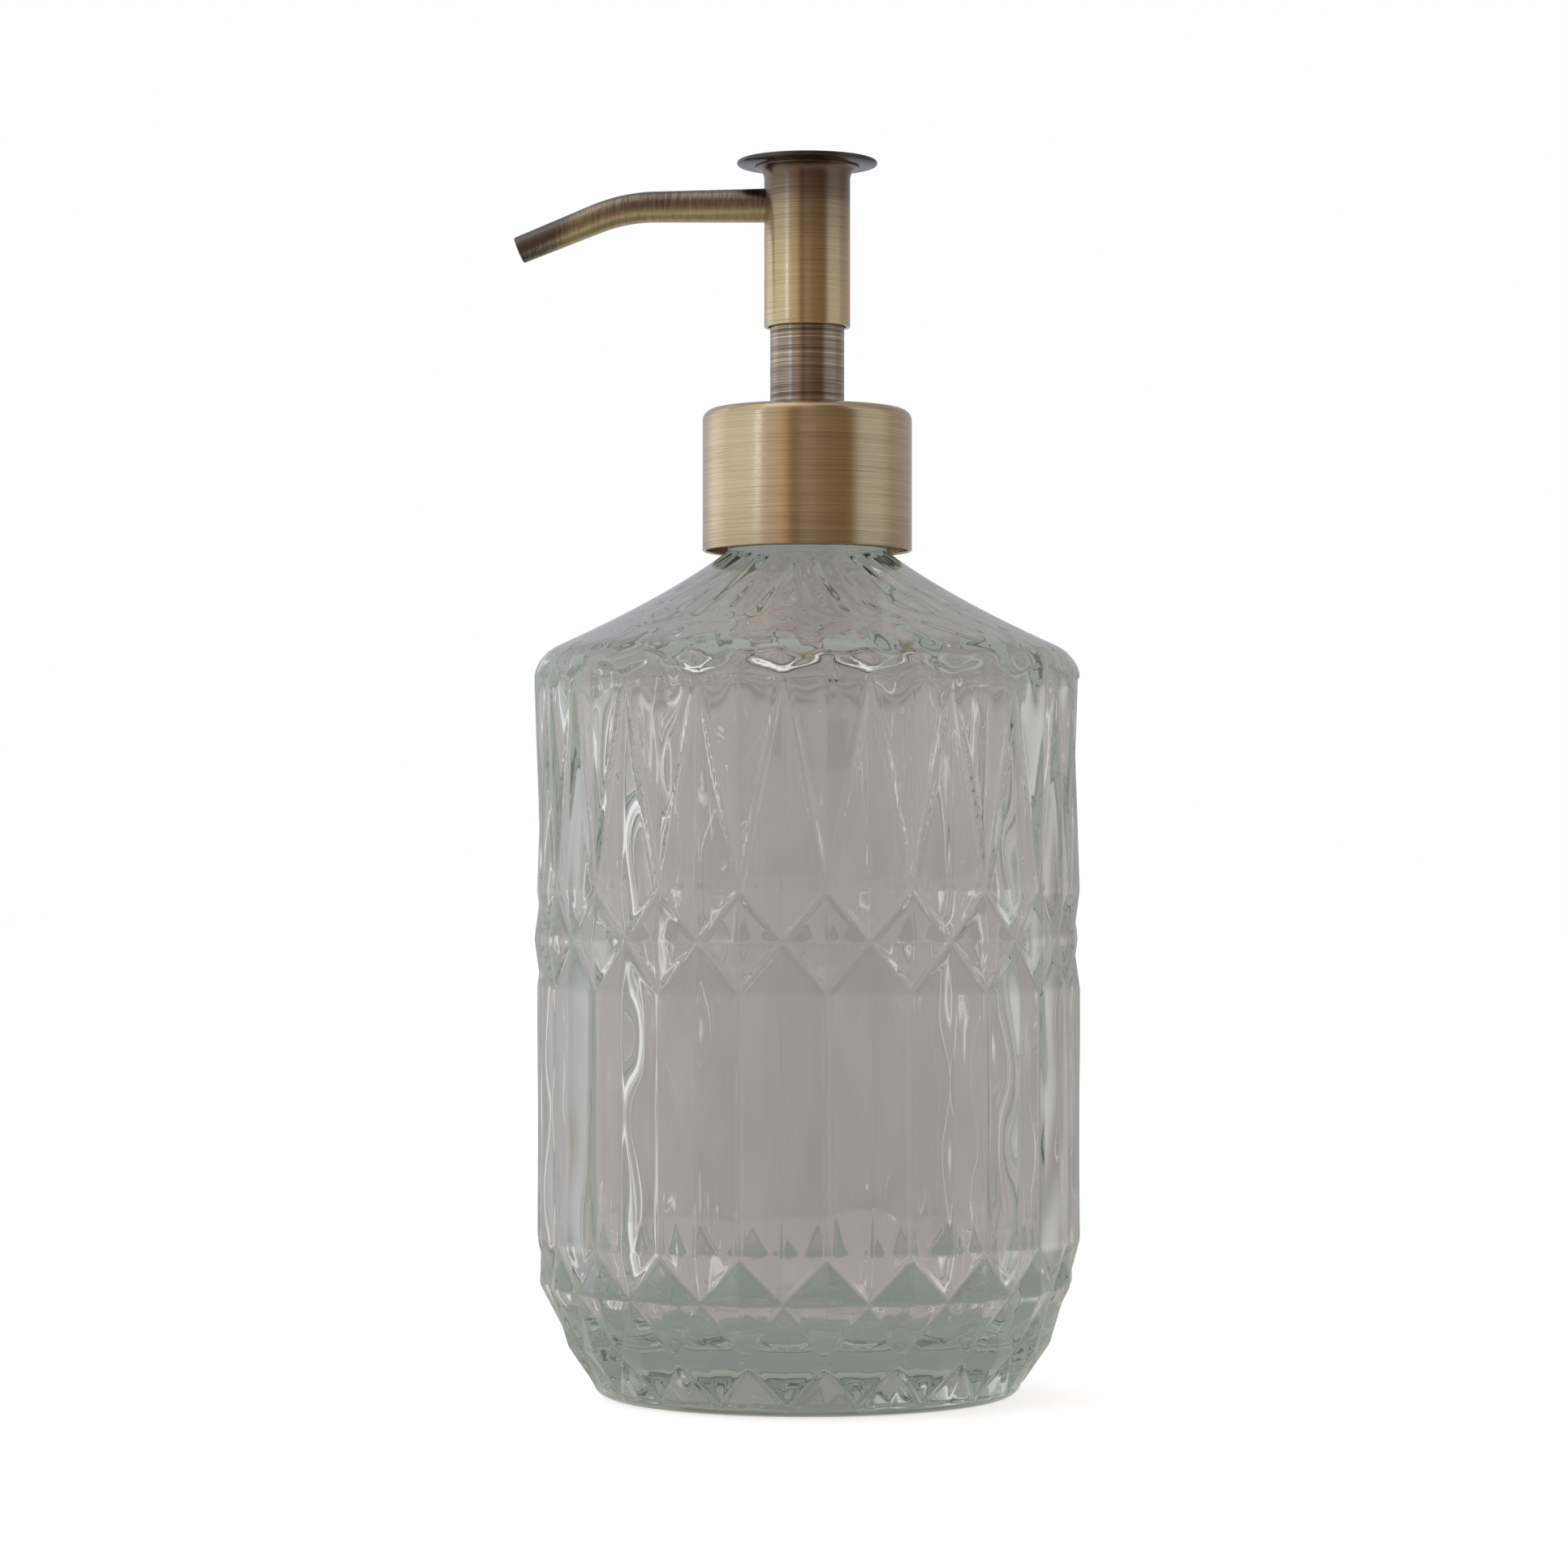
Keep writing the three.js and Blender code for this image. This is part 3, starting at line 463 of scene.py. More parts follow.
def spout_material():
    """Brass brushed slantwise and dark at the tip, with a painted reflection: dark where it faces up,
    golden where it faces down.
    """
    material, tree, shader = new_material("spout_brass")
    position = object_position(tree)
    slant = (0, math.radians(32), 0)
    scratches = noise(tree, stretched(tree, position, (2600, 420, 300), slant), 1.0, 4, 0.65)
    from_tip = math_node(tree, "SUBTRACT", parts(tree, position)[0], SPOUT_LOW[0])
    share = math_node(tree, "DIVIDE", from_tip, SPOUT_HIGH[0] - SPOUT_LOW[0])
    tip_stops = [(0.0, 1.0), (0.08, 0.8), (0.25, 0.0), (0.5, 0.2), (0.7, 0.1), (1.0, 0.3)]
    tip = ramp(tree, share, tip_stops, "EASE")
    # Painted reflection: darker where the spout faces up, golden where it faces down.
    normal = tree.nodes.new("ShaderNodeNewGeometry").outputs["Normal"]
    painted_reflection_stops = [(0.0, 0.0), (0.3, 0.1), (0.47, 0.6), (0.6, 0.65), (0.95, 0.8)]
    top = ramp(tree, from_minus_one(tree, parts(tree, normal)[2]), painted_reflection_stops)
    darkness = clamped(tree, summed(tree, tip, top, centred(tree, scratches, 1.3)))
    colour = mix_colour(tree, darkness, (0.58, 0.48, 0.27), (0.13, 0.11, 0.098))
    tree.links.new(colour, shader.inputs["Base Color"])
    shader.inputs["Metallic"].default_value = 1.0
    shader.inputs["Roughness"].default_value = 0.3
    bump(tree, shader, scratches, 0.03 * MM, 0.5)
    return material


def clear_plastic_material():
    """Thin clear plastic that shows mostly by its edges."""
    material, tree, shader = new_material("clear_plastic")
    facing = add(tree, "ShaderNodeLayerWeight", Blend=0.35).outputs["Facing"]
    streaks = noise(tree, object_position(tree), 400, 2)
    colour = mix_colour(tree, streaks, (0.8, 0.82, 0.81), (0.744, 0.7626, 0.7533))
    tree.links.new(colour, shader.inputs["Base Color"])
    alpha = ramp(tree, facing, [(0.0, 0.02), (0.6, 0.03), (1.0, 0.12)])
    tree.links.new(alpha, shader.inputs["Alpha"])
    shader.inputs["Roughness"].default_value = 0.25
    shader.inputs["Specular IOR Level"].default_value = 0.2
    return material


def milky_plastic_material():
    """Natural polypropylene: off-white, faintly waxy, with moulding flow in it."""
    material, tree, shader = new_material("natural_plastic")
    position = object_position(tree)
    flow = noise(tree, position, 260, 3)
    colour = mix_colour(tree, flow, (0.78, 0.77, 0.73), (0.7, 0.69, 0.65))
    tree.links.new(colour, shader.inputs["Base Color"])
    tree.links.new(math_node(tree, "MULTIPLY_ADD", flow, 0.3, 0.5), shader.inputs["Roughness"])
    shader.inputs["Subsurface Weight"].default_value = 0.15
    shader.inputs["Subsurface Radius"].default_value = (2 * MM, 2 * MM, 1.5 * MM)
    bump(tree, shader, noise(tree, position, 3000, 2), 0.02 * MM, 0.4)
    return material


def rubber_material():
    """Dark elastomer with a fine matt grain."""
    material, tree, shader = new_material("seal_rubber")
    grain = noise(tree, object_position(tree), 2500, 3)
    colour = mix_colour(tree, grain, (0.02, 0.02, 0.02), (0.05, 0.05, 0.05))
    tree.links.new(colour, shader.inputs["Base Color"])
    shader.inputs["Roughness"].default_value = 0.7
    bump(tree, shader, grain, 0.03 * MM, 0.5)
    return material


# ---------------------------------------------------------------- bottle
def swell(z):
    """Radius of the lower body over the panels, from the foot up to the full radius."""
    t = np.clip((z - TIP_Z) / (FLUTE_LOW_Z - TIP_Z), 0, 1)
    return FOOT_R + (BODY_R - FOOT_R) * t * (2 - t)


def pattern_rows():
    """Rows of the cut pattern: height, radius at the even columns, radius at the odd ones."""
    def grooved(z, radius, low_even):
        low = radius - GROOVE_DEPTH
        return (z, low, radius) if low_even else (z, radius, low)

    return [
        (TIP_Z, FOOT_R, FOOT_R),
        grooved(LOW_POINT_Z, swell(LOW_POINT_Z), False),
        grooved(HIGH_POINT_Z, swell(HIGH_POINT_Z), True),
        grooved(FLUTE_LOW_Z, BODY_R, False),
        grooved(FLUTE_HIGH_Z, BODY_R, False),
        grooved(BAND_Z, BODY_R, True),
        grooved(BAND_HIGH_Z, BODY_R, False),
        grooved(SPIKE_Z, BODY_R, True),
    ]


def plane_radius(corners, angle, z):
    """Radius at which the plane through three (radius, angle, height) corners is met."""
    points = [np.array((r * math.cos(a), r * math.sin(a), h)) for r, a, h in corners]
    normal = np.cross(points[1] - points[0], points[2] - points[0])
    offset = normal @ points[0]
    return (offset - normal[2] * z) / (normal[0] * np.cos(angle) + normal[1] * np.sin(angle))


def cut_radius(angle, z):
    """Outer radius of the cut glass at angles 0 to half a panel from an even column, by flat facets."""
    rows = pattern_rows()
    radius = np.full(np.broadcast(angle, z).shape, BODY_R)
    across = angle / HALF_PANEL
    for number, ((z0, even0, odd0), (z1, even1, odd1)) in enumerate(zip(rows, rows[1:])):
        up = (z - z0) / (z1 - z0)
        is_last = number == len(rows) - 2
        here = (up >= 0) if is_last else (up >= 0) & (up < 1)
        low_even, low_odd = (even0, 0, z0), (odd0, HALF_PANEL, z0)
        high_even, high_odd = (even1, 0, z1), (odd1, HALF_PANEL, z1)
        if odd0 < even0 and even1 < odd1:
            first, second = (low_even, low_odd, high_even), (low_odd, high_odd, high_even)
            in_first = across + up < 1
        else:
            first, second = (low_even, low_odd, high_odd), (low_even, high_odd, high_even)
            in_first = across > up
        value = np.where(in_first, plane_radius(first, angle, z), plane_radius(second, angle, z))
        radius = np.where(here, value, radius)
    return radius


def smoothed(field, spacing, sigma, axis, wrap):
    """Gaussian blur of a field along one axis, which wraps round or ends."""
    half = max(1, int(round(3 * sigma / spacing)))
    offsets = np.arange(-half, half + 1)
    weights = np.exp(-0.5 * (offsets * spacing / sigma) ** 2)
    weights /= weights.sum()
    if wrap:
        return sum(w * np.roll(field, o, axis) for w, o in zip(weights, offsets))
    pad = [(half, half) if k == axis else (0, 0) for k in range(field.ndim)]
    padded = np.pad(field, pad, mode="edge")
    size = field.shape[axis]
    starts = half + offsets
    return sum(w * np.take(padded, range(k, k + size), axis) for w, k in zip(weights, starts))


def sag_below(corner, foot_r):
    """The point that draws the shoulder's slope down, between its corner and the neck."""
    run = (corner[0] - foot_r) * SHOULDER_SAG
    return corner[0] - run, corner[1] + run * SHOULDER_SLOPE


def shoulder_curve():
    """The shoulder in the (radius, height) plane, from the cut body up to the foot of the neck."""
    corner = (BODY_R - CORNER_RUN, SPIKE_Z + CORNER_RISE)
    corner_control = (BODY_R, corner[1] - CORNER_RUN * SHOULDER_SLOPE)
    return [
        (BODY_R, SPIKE_Z),
        *bezier((BODY_R, SPIKE_Z), corner_control, corner, 20),
        *bezier(corner, sag_below(corner, NECK_R), (NECK_R, NECK_Z), 50),
    ]


def inner_curve():
    """The cavity in the (radius, height) plane, from the lip down to the middle of the floor."""
    in_r = BODY_R - WALL
    square = WALL / math.hypot(SHOULDER_SLOPE, 1)
    corner = (BODY_R - CORNER_RUN - square * SHOULDER_SLOPE, SPIKE_Z + CORNER_RISE - square)
    control = (in_r, corner[1] - (in_r - corner[0]) * SHOULDER_SLOPE)
    neck = (NECK_BORE_R, NECK_Z - NECK_FOOT_WALL)
    edge = (in_r, control[1] - WALL)
    wall_low = FLOOR_Z + FLOOR_CORNER
    bore = [(NECK_BORE_R, z) for z in np.linspace(LIP_Z - LIP_ROUND, neck[1], 16)]
    straight = [(in_r, z) for z in np.linspace(edge[1], wall_low, 80)[1:]]
    floor = [(r, FLOOR_Z) for r in np.linspace(in_r - FLOOR_CORNER, 0, 16)[1:-1]]
    return [
        *bore,
        *bezier(neck, sag_below(corner, NECK_BORE_R), corner, 70),
        *bezier(corner, control, edge, 24),
        *straight,
        *arc((in_r - FLOOR_CORNER, wall_low), FLOOR_CORNER, 0, -90, 24)[1:],
        *floor,
    ]


def lip_curve():
    """The rounded lip, from the outside of the neck over to its bore."""
    outer = arc((NECK_R - LIP_ROUND, LIP_Z - LIP_ROUND), LIP_ROUND, 0, 90, 5)
    inner = arc((NECK_BORE_R + LIP_ROUND, LIP_Z - LIP_ROUND), LIP_ROUND, 90, 180, 5)
    return outer + inner[:-1]


def thread_height(angle, z):
    """How far the screw thread stands out from the neck there."""
    start = LIP_Z - THREAD_DROP - THREAD_PITCH
    turn = angle / (2 * math.pi)
    off_centre = np.abs(z - (start + turn * THREAD_PITCH))
    flank = (THREAD_ROOT / 2 - off_centre) / ((THREAD_ROOT - THREAD_CREST) / 2)
    fade = np.minimum(turn, 1 - turn) / THREAD_RUN_OUT
    return THREAD_HEIGHT * np.clip(flank, 0, 1) * np.clip(fade, 0, 1)


def unevenness(angle, along, seed, lobes=(3, 26), lengths=(18 * MM, 90 * MM)):
    """Random waves of the pressed surface, mostly between -1 and 1, by angle and distance along it.

    Each wave has a number of lobes round the axis, and a length along the surface, within those ranges.
    """
    random = np.random.default_rng(seed)
    waves = 22
    total = np.zeros(np.broadcast(angle, along).shape)
    for _ in range(waves):
        phase = random.uniform(0, 2 * math.pi, 2)
        across = np.sin(random.integers(*lobes) * angle + phase[0])
        total += across * np.sin(2 * math.pi * along / random.uniform(*lengths) + phase[1])
    return total / math.sqrt(waves)


def groove_lines(angle, z):
    """1 in the bottom of the grooves and 0 away from them, for angles folded to half a panel."""
    rows = pattern_rows()
    share = np.zeros(np.broadcast(angle, z).shape)
    for (z0, even0, odd0), (z1, even1, odd1) in zip(rows, rows[1:]):
        t = (z - z0) / (z1 - z0)
        start = 0 if even0 <= odd0 else HALF_PANEL
        end = 0 if even1 <= odd1 else HALF_PANEL
        squareness = (z1 - z0) / math.hypot(z1 - z0, (end - start) * BODY_R)
        distance = np.abs(angle - start - (end - start) * t) * BODY_R * squareness
        here = (t >= 0) & (t < 1)
        share = np.where(here, np.exp(-((distance / LINE_WIDTH) ** 2)), share)
    return share


def wall_wave(angle, r, height):
    """How far the cavity's wall swings along its own normal there: not at all at the floor and the neck."""
    corner_z = SPIKE_Z + CORNER_RISE
    shoulder_start = SPIKE_Z - 6 * MM
    above_floor = np.clip((height - FLOOR_Z) / (6 * MM), 0, 1)
    below_neck = np.clip((r - NECK_BORE_R) / (4 * MM), 0, 1)
    in_shoulder = np.clip((height - shoulder_start) / (5 * MM), 0, 1)
    at_corner = math.exp(-(((height - corner_z) / (4 * MM)) ** 2))
    down = height - r
    swirls = unevenness(angle, down, 31, lobes=(10, 40), lengths=(7 * MM, 15 * MM))
    streaks = unevenness(angle, down, 23, lobes=(12, 40), lengths=(24 * MM, 80 * MM))
    scallops = 0.35 * np.cos(PANELS * angle)
    shoulder_wave = SHOULDER_WAVINESS * (streaks + at_corner * (scallops + swirls))
    wave = WAVINESS * unevenness(angle, height, 11) + in_shoulder * shoulder_wave
    return wave * above_floor * below_neck


def inner_rows(angle):
    """Rings of the cavity's wall from the lip down, waved along the wall's own normal."""
    curve = np.array(inner_curve())
    tangent = np.gradient(curve, axis=0)
    tangent /= np.linalg.norm(tangent, axis=1)[:, None]
    rings = []
    for (r, height), (along_r, along_z) in zip(curve, tangent):
        wave = wall_wave(angle, r, height)
        rings.append(ring_points(angle, r + wave * along_z, height - wave * along_r))
    return rings


def base_rows(angle):
    """Rings of the underside from its middle out, with a shallow push-up, and of the rounded foot."""
    recess = [(r, PUSH_UP * (1 - (r / PUSH_UP_R) ** 2)) for r in np.linspace(0, PUSH_UP_R, 14)[1:]]
    flat = [(r, 0) for r in np.linspace(PUSH_UP_R, FLAT_R, 4)[1:]]
    control = ((FLAT_R + 3 * FOOT_R) / 4, 0)
    foot = bezier((FLAT_R, 0), control, (FOOT_R, TIP_Z), 8)
    return [ring_points(angle, r, height) for r, height in [*recess, *flat, *foot[:-1]]]


def cut_rows(angle, shoulder):
    """Rings of the cut body and the start of the shoulder, and the height that they reach."""
    step = 0.36 * MM
    past_scallops = 3 * MM
    z = np.arange(TIP_Z, SPIKE_Z + SCALLOP + past_scallops, step)
    folded = np.abs((angle / (2 * HALF_PANEL) + 0.5) % 1 - 0.5) * 2 * HALF_PANEL
    shoulder_r = np.interp(z, shoulder[:, 1], shoulder[:, 0])
    edge_z = SPIKE_Z + SCALLOP * np.sin(math.pi / 2 * folded / HALF_PANEL)
    cut = cut_radius(folded[None, :], z[:, None])
    plain = np.broadcast_to(shoulder_r[:, None], cut.shape)
    radius = np.where(z[:, None] < edge_z[None, :], np.minimum(cut, plain), plain)
    radius = smoothed(radius, step, EDGE_SOFTNESS, axis=0, wrap=False)
    radius = smoothed(radius, 2 * math.pi * BODY_R / len(angle), EDGE_SOFTNESS, axis=1, wrap=True)
    radius -= SAG * (1 + unevenness(angle[None, :], z[:, None], 5))
    radius -= LINE_DEPTH * groove_lines(folded[None, :], z[:, None])
    return [ring_points(angle, ring, height) for ring, height in zip(radius, z)], z[-1] + step / 2


def neck_rows(angle):
    """Rings of the neck with its screw thread, and of the lip."""
    step = 0.25 * MM
    heights = np.arange(NECK_Z + 0.3 * MM, LIP_Z - LIP_ROUND, step)
    neck = [ring_points(angle, NECK_R + thread_height(angle, height), height) for height in heights]
    return neck + [ring_points(angle, r, height) for r, height in lip_curve()]


def build_bottle(material):
    """The bottle as one closed skin: cut outside, smooth shoulder, threaded neck and a wavy cavity."""
    half_panel_columns = 17
    columns = 2 * PANELS * half_panel_columns
    angle = round_angles(columns)
    shoulder = np.array(shoulder_curve())
    body, body_top = cut_rows(angle, shoulder)
    slope = [ring_points(angle, r, height) for r, height in shoulder if height > body_top]
    rows = base_rows(angle) + body + slope + neck_rows(angle) + inner_rows(angle)
    ends = [(0, 0, PUSH_UP), (0, 0, FLOOR_Z)]
    verts, triangles = capped(np.concatenate(rows), len(rows), columns, *ends)
    faces = grid_faces(len(rows), columns)
    bottle = mesh_object("glass_bottle", verts, faces, material, triangles=triangles)
    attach(bottle, "bottle")
    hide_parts("bottle")


# ---------------------------------------------------------------- metal pieces
def build_cap_shell(material):
    """The drawn shell over the nut: open below, rounded above, with a rolled lip round the tube."""
    outer = SHELL_HIGH[0]
    low, lip_top = SHELL_LOW[2], SHELL_HIGH[2]
    top = lip_top - 0.7 * MM
    wall = 0.5 * MM
    round_r = 1.8 * MM
    hole = 6.05 * MM
    lip = hole + 0.45 * MM
    lip_edge = 0.15 * MM
    hem = 0.25 * MM
    profile = [
        (outer - wall, low + hem),
        *arc((outer - hem, low + hem), hem, 180, 360, 8),
        *arc((outer - round_r, top - round_r), round_r, 0, 90, 14),
        *bezier((lip + 0.7 * MM, top), (lip + 0.1 * MM, top), (lip, lip_top - lip_edge), 8),
        (lip - lip_edge, lip_top),
        (hole, lip_top),
        (hole, top - wall),
        *arc((outer - round_r, top - round_r), round_r - wall, 90, 0, 10),
    ]
    shell = turned("cap_shell_skin", profile, material, 192)
    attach(shell, "closure")
    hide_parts("cap_shell")


def build_guide_tube(material):
    """The tube that the head slides on, with its clamped flange."""
    r = 5.9 * MM
    bore = r - 0.7 * MM
    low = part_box("guide_tube")[0][2]
    top = GUIDE_HIGH[2]
    flange_r = GUIDE_HIGH[0]
    flange_top = low + 0.5 * MM
    edge = 0.2 * MM
    profile = [
        (bore, low),
        (flange_r, low),
        (flange_r, flange_top),
        (r, flange_top),
        *arc((r - edge, top - edge), edge, 0, 90, 4),
        (bore, top),
    ]
    tube = turned("guide_tube_skin", profile, material, 128)
    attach(tube, "pump_body")
    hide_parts("guide_tube")


def build_head_sleeve(material):
    """The sleeve of the head, flared under the disc, with a hole for the spout."""
    outer = 6.84 * MM
    wall = 0.65 * MM
    bore = outer - wall
    low, top = SLEEVE_LOW[2], SLEEVE_HIGH[2]
    flare_r = SLEEVE_HIGH[0]
    flare_z = top - 2.1 * MM
    edge = 0.12 * MM
    plain_low = low + 1 * MM
    profile = [
        (bore, low + edge),
        *arc((bore + edge, low + edge), edge, 180, 270, 3),
        *arc((outer - edge, low + edge), edge, 270, 360, 3),
        *[(outer, z) for z in np.linspace(plain_low, flare_z, 24)],
        *bezier((outer, flare_z), (outer, top - 0.36 * MM), (flare_r, top - 0.24 * MM), 10),
        (flare_r, top),
        (flare_r - wall, top),
        (bore, flare_z + 1.05 * MM),
        *[(bore, z) for z in np.linspace(flare_z, plain_low, 12)],
    ]
    sleeve = turned("head_sleeve_skin", profile, material, 128)
    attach(sleeve, "head")
    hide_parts("head_sleeve")


def build_press_disc(material):
    """The disc that is pressed: thin, with a rounded rim, and a spigot that plugs into the sleeve."""
    r = DISC_HIGH[0]
    top = DISC_HIGH[2]
    thick = 0.95 * MM
    low = top - thick
    spigot = 6.09 * MM
    spigot_bore = spigot - 1.2 * MM
    rim = 0.38 * MM
    profile = [
        (0, top),
        *[(s * (r - rim), top) for s in (0.25, 0.5, 0.75, 0.9)],
        *arc((r - rim, top - rim), rim, 90, -60, 10),
        (r - 1.6 * MM, low),
        (spigot, low),
        (spigot, DISC_LOW[2]),
        (spigot_bore, DISC_LOW[2]),
        (spigot_bore, low),
        (0, low),
    ]
    disc = turned("press_disc_skin", profile, material, 160)
    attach(disc, "head")
    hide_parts("press_disc")


def build_spout(material):
    """The bent, slightly tapered spout with its square-cut open end."""
    start_x = SPOUT_HIGH[0]
    root_r = SPOUT_HIGH[1]
    tip_r = 2.15 * MM
    axis_z = SPOUT_HIGH[2] - root_r
    wall = 0.55 * MM
    straight = 21.2 * MM
    bend_r = 26 * MM
    bend = math.radians(21.4)
    end = 13.4 * MM
    total = straight + bend_r * bend + end

    def station(s):
        """Place and downward tilt of the spout's middle line at that length from its root."""
        in_arc = min(max((s - straight) / bend_r, 0), bend)
        past = max(0, s - straight - bend_r * bend)
        run = min(s, straight) + bend_r * math.sin(in_arc) + past * math.cos(bend)
        fall = bend_r * (1 - math.cos(in_arc)) + past * math.sin(bend)
        return start_x - run, axis_z - fall, in_arc

    sides = 64
    around = round_angles(sides)
    edge = 0.12 * MM

    def ring(s, r):
        """Points round the spout at that length from its root."""
        x, z, tilt = station(s)
        up = r * np.cos(around)
        return np.stack([x - up * math.sin(tilt), r * np.sin(around), z + up * math.cos(tilt)], axis=-1)

    def outer_r(s):
        """The taper."""
        return root_r + (tip_r - root_r) * s / total

    lengths = np.linspace(0, total - edge, 60)
    outside = [ring(s, outer_r(s)) for s in lengths] + [ring(total, tip_r - edge)]
    inside = [ring(s, outer_r(s) - wall) for s in [total, *lengths[::-1]]]
    rows = outside + inside
    faces = grid_faces(len(rows), sides, close_rows=True)
    spout = mesh_object("spout_skin", np.concatenate(rows), faces, material)
    face_out(spout)
    sharpen(spout, 38)
    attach(spout, "head")
    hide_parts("spout")


# ---------------------------------------------------------------- spring
def build_return_spring(material):
    """The coil spring, with closed end turns."""
    low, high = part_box("return_spring")
    length = high[2] - low[2]
    coil_r = high[0] - SPRING_WIRE_R
    closed_rise = 2 * SPRING_WIRE_R + 0.05 * MM
    rise = length - 2 * SPRING_WIRE_R
    rows = SPRING_TURNS * 40 + 1
    turn = np.linspace(0, SPRING_TURNS, rows)
    climb = np.interp(
        turn,
        [0, 1, SPRING_TURNS - 1, SPRING_TURNS],
        [0, closed_rise, rise - closed_rise, rise],
    )
    sides = 12
    around = round_angles(sides)
    rings = []
    for angle, z in zip(2 * math.pi * turn, low[2] + SPRING_WIRE_R + climb):
        radius = coil_r + SPRING_WIRE_R * np.cos(around)
        height = z + SPRING_WIRE_R * np.sin(around)
        rings.append(ring_points(np.full(sides, angle), radius, height))
    ends = [rings[0].mean(axis=0), rings[-1].mean(axis=0)]
    verts, triangles = capped(np.concatenate(rings), rows, sides, *ends)
    faces = grid_faces(rows, sides)
    spring = mesh_object("return_spring_skin", verts, faces, material, triangles=triangles)
    face_out(spring)
    sharpen(spring, 60)
    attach(spring, "pump_body")
    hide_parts("return_spring")
    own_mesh(spring)


# ---------------------------------------------------------------- studio
# Colours round the set: (degrees from the photographer's side, negative to the left, colour).
ROOM = [
    (-180, (0.52, 0.52, 0.58)),
    (-150, (0.6, 0.6, 0.66)),
    (-124, (1.1, 1.12, 1.2)),
    (-110, (1.05, 1.05, 1.08)),
    (-100, (0.92, 0.9, 0.86)),
    (-70, (0.9, 0.92, 0.92)),
    (-58, (0.92, 0.97, 1.05)),
    (-52, (0.73, 0.7, 0.72)),
    (-42, (0.72, 0.65, 0.63)),
    (-28, (0.7, 0.54, 0.44)),
    (-22, (0.56, 0.42, 0.32)),
    (-18, (0.25, 0.178, 0.126)),
    (-12, (0.29, 0.215, 0.165)),
    (-4, (0.4, 0.32, 0.28)),
    (4, (0.39, 0.32, 0.28)),
    (10, (0.32, 0.26, 0.22)),
    (20, (0.3, 0.215, 0.15)),
    (48, (0.25, 0.17, 0.115)),
    (54, (0.36, 0.33, 0.3)),
    (60, (0.62, 0.62, 0.66)),
    (88, (0.64, 0.63, 0.66)),
    (108, (0.44, 0.42, 0.4)),
    (180, (0.48, 0.47, 0.52)),
]
THROUGH_GLASS = [
    (-180, BACK_WALL),
    (-150, BACK_WALL),
    (-125, (0.46, 0.465, 0.465)),
    (-90, (0.57, 0.585, 0.585)),
    (-45, (0.5, 0.5, 0.5)),
    (0, (0.36, 0.35, 0.33)),
    (50, (0.42, 0.42, 0.41)),
    (90, (0.56, 0.565, 0.56)),
    (125, (0.52, 0.52, 0.51)),
    (150, BACK_WALL),
    (180, BACK_WALL),
]

# Bright bands: (first degree, last degree, softness of their edges in degrees, colour).
WINDOW = [(-57, -55, 0.5, (1.9, 2.3, 2.7))]
GLASS_WINDOWS = [
    (-133, -129, 2, (0.35, 0.36, 0.36)),
    (-110, -104, 2, (0.4, 0.42, 0.42)),
    (-82, -77, 2, (0.8, 0.85, 0.9)),
    (-57.5, -55, 0.5, (5, 5.4, 5.8)),
    (60.5, 62, 0.5, (6, 6.2, 6.3)),
    (100, 105, 2, (0.9, 1.0, 1.0)),
]
GROOVE_LIGHTS = [
    (-159.8, -159, 0.4, (0.42, 0.45, 0.45)),
    (-155.8, -153.2, 0.7, (0.48, 0.51, 0.51)),
    (156.6, 158.4, 0.6, (0.3, 0.32, 0.32)),
]


def heading_ramp(tree, share, stops):
    """The colour at a share of the way round the set, which is 0.5 on the photographer's side."""
    return ramp(tree, share, [(0.5 + degrees / 360, colour) for degrees, colour in stops])


def band_ramp(tree, share, bands):
    """Bright bands on black round the set."""
    stops = []
    for first, last, softness, colour in bands:
        stops += [(first - softness, 0.0), (first, colour), (last, colour), (last + softness, 0.0)]
    return heading_ramp(tree, share, stops)


def both(tree, a, b):
    """The sum of two colours."""
    return mix_colour(tree, 1.0, a, b, "ADD")


def dimmed(tree, colour, by):
    """The product of two colours."""
    return mix_colour(tree, 1.0, colour, by, "MULTIPLY")


